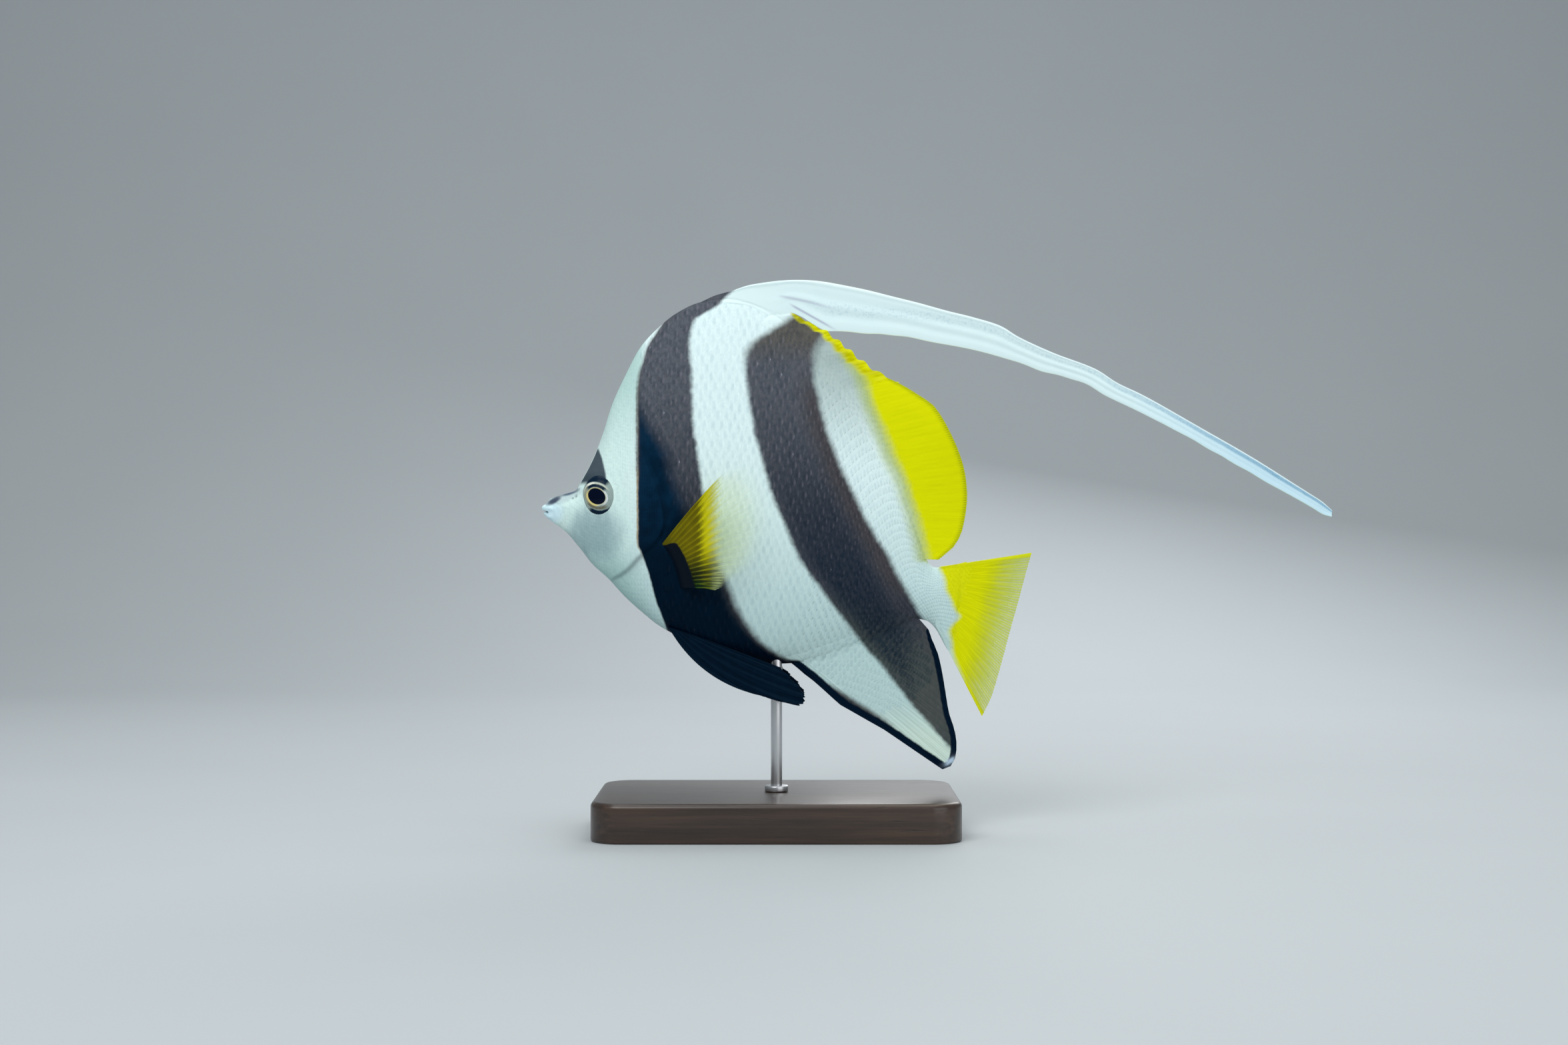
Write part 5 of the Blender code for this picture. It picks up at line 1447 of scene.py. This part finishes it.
def layScales(name, target, spots, material):
    # spots: centre, axis along, axis across, normal, length, half width, place on the unwrap, tint, lift
    template, faces = scaleTemplate()
    tree = treeOf(target)
    count = len(template)
    placed = np.zeros((len(spots), count, 3))
    rise = np.interp(template[:, 3], *np.array(scales["profile"]).T) - scales["sideDrop"] * template[:, 2] ** 2
    uneven = []
    for k, (centre, along, across, normal, length, half, _, _, lift) in enumerate(spots):
        flat = centre + along * ((template[:, :1] - 0.55) * length) + across * (template[:, 1:2] * half)
        way = Vector(-normal)
        for m in range(count):
            start = Vector(flat[m] + normal * 3.0)
            hit = tree.ray_cast(start, way, 9.0)[0]
            if hit is None:
                hit = tree.find_nearest(Vector(flat[m]))[0]
            placed[k, m] = np.array(hit) + normal * (rise[m] * lift)
        bend = (placed[k] - centre) @ normal
        most = 0.25 + 0.10 * length if lift < 0.6 else 0.55 + 0.22 * length
        uneven.append(bend.max() - bend.min() > most)
    # a scale that would bridge a groove or an edge is left out
    keep = [k for k in range(len(spots)) if not uneven[k]]
    spots, placed = [spots[k] for k in keep], placed[keep]
    vertices = placed.reshape(-1, 3) * mm
    every = [tuple(v + count * k for v in face) for k in range(len(spots)) for face in faces]
    mesh = bpy.data.meshes.new(name)
    mesh.from_pydata(vertices.tolist(), [], every)
    piece = bpy.data.objects.new(name, mesh)
    bpy.context.scene.collection.objects.link(piece)

    corners = np.concatenate([np.array(face) for face in faces])
    bakePlaces = np.array([spot[6] for spot in spots])
    patch = np.stack([template[:, 0] - 0.5, template[:, 1] * 0.5], axis=1) * 0.003
    bake = (bakePlaces[:, None] + patch[corners][None]).reshape(-1, 2)
    local = np.stack([template[:, 0], template[:, 1] * 0.5 + 0.5], axis=1)[corners]
    local = np.tile(local, (len(spots), 1))
    for mapName, values in (("OFBake", bake), ("scaleMap", local)):
        layer = mesh.uv_layers.new(name=mapName)
        layer.data.foreach_set("uv", values.astype(np.float32).ravel())
    for key, values in (("tint", [spot[7] for spot in spots]), ("small", [1 - spot[8] for spot in spots])):
        shade = mesh.attributes.new(key, "FLOAT", "POINT")
        shade.data.foreach_set("value", np.repeat(values, count).astype(np.float32))
    mesh.update()
    tidyMesh(piece, angle=75)
    return painted(piece, material)


# the side of the body as a map: x of each station, and the way up from its widest height
stationX = stationPlaces()
girthSteps = np.linalg.norm(np.diff(side, axis=1), axis=2)
girth = np.concatenate([np.zeros((len(side), 1)), np.cumsum(girthSteps, axis=1)], axis=1)
widest = np.argmax(side[:, :, 1], axis=1)
girthMiddle = np.array([row[k] for row, k in zip(girth, widest)])


def onBody(x, up):
    # the point of the right side at a station and a way up from the widest height
    place = np.interp(x, stationX, np.arange(len(stationX)))
    low = int(min(place, len(stationX) - 2))
    part = place - low
    found = []
    for k in (low, low + 1):
        ring = np.clip(girthMiddle[k] - up, 0, girth[k, -1])
        found.append([np.interp(ring, girth[k], side[k, :, axis]) for axis in range(3)])
    return np.array(found[0]) * (1 - part) + np.array(found[1]) * part


def unit(vector):
    return vector / max(np.linalg.norm(vector), 1e-9)


def reachAt(x, upper):
    # the way from the widest height to the back, or down to the belly
    return float(np.interp(x, stationX, girthMiddle if upper else girthMiddle - girth[:, -1]))


def onShare(x, share):
    return onBody(x, abs(share) * reachAt(x, share > 0))


def bodySpot(place, x, up, step, pitch, tall, sideSign, tint, lift):
    # place gives the point of the side from x and a way up
    lean = scales["lean"] * 0.6
    centre = place(x, up)
    along = unit(place(x + 0.6, up) - place(x - 0.6, up))
    rise = unit(place(x + lean, up + step) - place(x - lean, up - step))
    normal = unit(np.cross(along, rise))
    if normal[1] < 0:
        normal = -normal
    along = unit(np.cross(rise, normal))
    if along[0] < 0:
        along = -along
    across = unit(np.cross(normal, along))
    flip = np.array([1, sideSign, 1])
    height = up if place == onBody else abs(up) * reachAt(x, up > 0)
    bake = (0.02 + 0.96 * (x + 92) / 166, 0.25 + height / 340 + (0.5 if sideSign > 0 else 0.0))
    length = pitch * scales["length"]
    if place == onShare:
        length = pitch * scales["flankLength"]
    half = tall * scales["halfWidth"]
    return (centre * flip, along * flip, across * flip, normal * flip, length, half, bake, tint, lift)


gillDrawn = alongLine(gillLine, np.linspace(0, 1, 60))


finTrees = [treeOf(name) for name in ("softDorsalFin", "spinyDorsalFin", "analFin", "tailFin", "pennant")]


def covered(spot):
    # whether the root of a fin lies over this place of the body
    x, y, z = spot[0]
    way = 1.0 if y > 0 else -1.0
    for tree in finTrees:
        hit = tree.ray_cast(Vector((x, farOut * way, z)), Vector((0, -way, 0)), farOut)[0]
        if hit and abs(hit[1]) > abs(y) + 0.15:
            return True
    return False


def settled(spot, tree):
    # a scale turned to the real surface under it
    centre, along, across, normal, length, half = spot[:6]
    ways = (along * 0.4 * length, -along * 0.4 * length, across * 0.7 * half, -across * 0.7 * half)
    hits = [tree.ray_cast(Vector(centre + way + normal * 6.0), Vector(-normal), 12.0)[0] for way in ways]
    if any(hit is None for hit in hits):
        return spot
    ends = [np.array(hit) for hit in hits]
    run, rise = ends[0] - ends[1], ends[2] - ends[3]
    out = unit(np.cross(run, rise))
    out = out if out @ normal > 0 else -out
    half = half * min(np.linalg.norm(rise) / (1.4 * half), 1.6)
    return (centre, unit(run), unit(np.cross(out, run)), out, length, half, *spot[6:])


def behindGill(x, z):
    away, _, sign = nearestOn(np.array([[x, z]]), gillDrawn)
    return float(away[0] * sign[0])


def flankSpots(sideSign, rng):
    # rows that part from the widest height and close again with the body, in columns of every other row
    flank, spots = scales["flank"], []
    x, column = -58.0, 0
    while x < 71:
        pitch = flankPitch(x)
        for upper, rows in ((True, flank["rowsUp"]), (False, flank["rowsDown"])):
            reach = reachAt(x, upper)
            for row in range((column + (0 if upper else 1)) % 2, rows, 2):
                share = (row + 0.5) / rows * (1 if upper else -1)
                leaning = x + scales["lean"] * abs(share) * reach * float(ramp(-50, -20, x))
                point = onShare(leaning, share)
                if -89 < leaning < 70.5 and bodyAllowed(point):
                    tall = 1.75 * abs(reachAt(leaning, upper)) / rows
                    spots.append(bodySpot(
                        onShare, leaning, share, 0.3 / rows, 2 * pitch, tall, sideSign,
                        rng.random(), flank["lift"],
                    ))
        x += pitch
        column += 1
    return spots


def columnSpots(start, end, kind, allowed, sideSign, rng):
    # columns of small scales from front to rear, each next one half a scale up or down
    pitch, tall, lift = kind["pitch"], kind["tall"], kind["lift"]
    spots = []
    x, odd = start, 0
    while x < end:
        top, bottom = reachAt(x, True), reachAt(x, False)
        for up in np.arange(bottom + 0.3 + tall * 0.5 * odd, top - 0.3, tall):
            if allowed(onBody(x, up)):
                spots.append(bodySpot(onBody, x, up, 0.6, pitch, tall, sideSign, rng.random(), lift))
        x += pitch
        odd = 1 - odd
    return spots


def bodyAllowed(point):
    x, z = point[0], point[2]
    return behindGill(x, z) > (2.6 if z < 150 else 0.4) and not (x < -44 and z < 112)


def breastAllowed(point):
    x, z = point[0], point[2]
    return behindGill(x, z) > 3.5 and x < -44 and z < 112


def headAllowed(point):
    x, z = point[0], point[2]
    if behindGill(x, z) > -1.6 or x < -84.5 + (z - 125) * 0.1:
        return False
    if math.hypot((x - orbit["x"]) / orbit["halfWidth"], (z - orbit["height"]) / orbit["halfTall"]) < 1.16:
        return False
    return all(math.hypot(x - a, z - b) > c * 2.6 for a, b, c in nostrils)


def flankPitch(x):
    places = [-58, -48, -36, 4, 20, 38, 60, 72]
    return float(np.interp(x, places, [1.2, 1.35, 1.56, 1.56, 1.32, 1.06, 0.80, 0.75]))


def makeCoat(material):
    rng = np.random.default_rng(11)
    for sideSign, way in ((-1, "Left"), (1, "Right")):
        spots = [spot for spot in flankSpots(sideSign, rng) if not covered(spot)]
        layScales("bodyScales" + way, "bannerfishSkin", spots, material)
        small = columnSpots(-86, -40, scales["head"], headAllowed, sideSign, rng)
        small += columnSpots(-80, -43, scales["breast"], breastAllowed, sideSign, rng)
        layScales("headScales" + way, "bannerfishSkin", small, material)
        print(way, len(spots), "large and", len(small), "small scales")


def finSpots(points, half, coat, rng, bakeStart):
    # scales over the fleshy base of a fin, on both faces, from the flow of the body's to the way of the rays
    spots = []
    distance = np.linalg.norm(points - points[:, :1], axis=2)
    outline = np.vstack([points[0, 12::4], points[::6, -1]])[:, [0, 2]]
    start, end = coat["rows"]
    row, number = start, 0
    while row < end:
        share = ((row - start) / (end - start)) ** 1.4
        pitch, tall, lift = [low + (high - low) * share for low, high in zip(coat["first"], coat["last"])]
        line, ahead = [
            np.array([[np.interp(far, d, p[:, k]) for k in range(3)] for d, p in zip(distance, points)])
            for far in (row, row + 0.5)
        ]
        thick = np.array([np.interp(row, d, h) for d, h in zip(distance, half)])
        lengths = np.concatenate([[0], np.cumsum(np.linalg.norm(np.diff(line, axis=0), axis=1))])
        for place in np.arange(tall * (0.3 if number % 2 else 0.8), lengths[-1] - 0.4, tall):
            part = place / lengths[-1]
            if row > coat["reach"](part) + rng.uniform(-1, 1):
                continue
            centre = np.array([np.interp(place, lengths, line[:, k]) for k in range(3)])
            width = float(np.interp(place, lengths, thick))
            if bodyHalf(centre[0], centre[2]) > width + 0.02:
                continue
            if nearestOn(centre[None, [0, 2]], outline)[0][0] < coat["clear"] + pitch * 0.6:
                continue
            front = np.array([np.interp(place, lengths, ahead[:, k]) for k in range(3)])
            near = np.array([np.interp(place + 0.5, lengths, line[:, k]) for k in range(3)])
            along, across = unit(front - centre), unit(near - centre)
            normal = unit(np.cross(along, across))
            own = 0.25 + 0.75 * float(ramp(0, 14, row))
            turned = unit(along * own + np.array([1.0, 0, 0]) * coat["flow"])
            for sign in (1, -1):
                surface = centre + normal * sign * width
                bake = (bakeStart + part * 0.2, 0.02 + row / 400 + (0.15 if sign > 0 else 0.0))
                spots.append((
                    surface, turned, unit(np.cross(normal * sign, turned)), normal * sign,
                    pitch * coat["length"], tall * coat["width"], bake, rng.random(), lift,
                ))
        row += pitch
        number += 1
    return spots


finCoats = [
    # first and last give pitch, height and lift, and reach how far out each part of the fin is covered
    {
        "name": "dorsalFinScales", "fin": "softDorsalFin", "rows": (3.0, 15.0), "flow": 0.3, "clear": 1.0,
        "first": (1.1, 3.2, 0.7), "last": (0.6, 1.8, 0.3), "length": 3.1, "width": 0.47,
        "reach": lambda s: 14.5 - 3 * s,
    },
    {
        "name": "spinyFinScales", "fin": "spinyDorsalFin", "rows": (3.0, 21.0), "flow": 0.3, "clear": 4.4,
        "first": (1.2, 2.2, 0.4), "last": (0.7, 1.3, 0.2), "length": 2.5, "width": 0.55,
        "reach": lambda s: 8 + 11 * s,
    },
    {
        "name": "analFinScales", "fin": "analFin", "rows": (3.0, 48.0), "flow": 0.5, "clear": 3.3,
        "first": (1.35, 5.2, 1.0), "last": (0.85, 3.0, 0.6), "length": 3.1, "width": 0.47,
        "reach": lambda s: 17 + 26 * ramp(0.10, 0.36, s) * (1 - 0.62 * ramp(0.45, 1.0, s)),
    },
    {
        "name": "tailFinScales", "fin": "tailFin", "rows": (3.0, 14.0), "flow": 0.3, "clear": 1.0,
        "first": (0.8, 2.2, 0.6), "last": (0.6, 1.4, 0.3), "length": 3.1, "width": 0.47,
        "reach": lambda s: 10.0 + 3 * abs(2 * s - 1),
    },
]


def makeFinScales(material, analMaterial):
    rng = np.random.default_rng(23)
    shapes = {
        "softDorsalFin": softDorsal, "spinyDorsalFin": spinyDorsal, "analFin": analFin, "tailFin": tailFin,
    }
    for number, coat in enumerate(finCoats):
        spots = finSpots(*shapes[coat["fin"]], coat, rng, 0.02 + 0.24 * number)
        tree = treeOf(coat["fin"])
        spots = [settled(spot, tree) for spot in spots]
        paint = analMaterial if coat["fin"] == "analFin" else material
        layScales(coat["name"], coat["fin"], spots, paint)


scaleMaterial = scalePaint()
makeCoat(scaleMaterial)
makeFinScales(scaleMaterial, scalePaint("analScales", True))
print("scales laid")


# Floor, light and camera

stage = {
    "floorColour": (0.50, 0.54, 0.56),
    "worldColour": (0.80, 0.86, 0.90),
    "worldStrength": 0.34,
    "lights": [
        # name, place, size, power
        ("keyLight", (-0.45, -0.95, 1.05), 0.8, 10.5),
        ("fillLight", (0.70, -0.95, 0.20), 1.0, 4.5),
        ("topLight", (0.05, 0.15, 1.10), 0.9, 6.0),
        ("rimLight", (0.30, 0.90, 0.60), 0.6, 3.5),
    ],
}


def floorPaint():
    paint = Paint("paleFloor", {"Specular IOR Level": 0.25})
    fine = paint.noise(1.2, 3.0)
    broad = paint.noise(140.0, 2.0)
    colour = paint.blend(broad * 0.6, stage["floorColour"], (0.46, 0.50, 0.52))
    return paint.finish(colour, 0.72 + fine * 0.12, fine, 0.04)


def makeStage():
    x = np.linspace(-2600, 2600, 25)
    arc = np.linspace(0, math.pi / 2, 25)
    y = np.concatenate([[-2200, -1000, 0], 700 + 700 * np.sin(arc), [1400]])
    z = np.concatenate([[0, 0, 0], 700 * (1 - np.cos(arc)), [2600]])
    points = np.zeros((len(x), len(y), 3))
    points[..., 0] = x[:, None]
    points[..., 1], points[..., 2] = y[None, :], z[None, :]
    floor, _, _ = shapedGrid("studioFloor", points, "floorMap")
    bpy.ops.object.shade_smooth()
    floor.data.materials.append(floorPaint())


def makeLights():
    centre = Vector((0.02, 0.0, 0.12))
    for name, place, size, power in stage["lights"]:
        way = centre - Vector(place)
        turned = way.to_track_quat("-Z", "Y").to_euler()
        bpy.ops.object.light_add(type="AREA", location=place, rotation=turned)
        lamp = bpy.context.object
        lamp.name = name
        lamp.data.size = size
        lamp.data.energy = power
    world = bpy.data.worlds.new("paleRoom")
    world.use_nodes = True
    background = world.node_tree.nodes["Background"]
    background.inputs["Color"].default_value = (*stage["worldColour"], 1.0)
    background.inputs["Strength"].default_value = stage["worldStrength"]
    bpy.context.scene.world = world


makeStage()
makeLights()
cameraPlace = (view["x"] * mm, -view["away"] * mm, view["height"] * mm)
bpy.ops.object.camera_add(location=cameraPlace, rotation=(math.pi / 2, 0, 0))
camera = bpy.context.object
camera.data.lens = view["lens"]
camera.data.sensor_width = 36.0
camera.data.clip_start = 0.01
bpy.context.scene.camera = camera
bpy.context.scene.view_settings.view_transform = "Standard"
print("stage, lights and camera made")
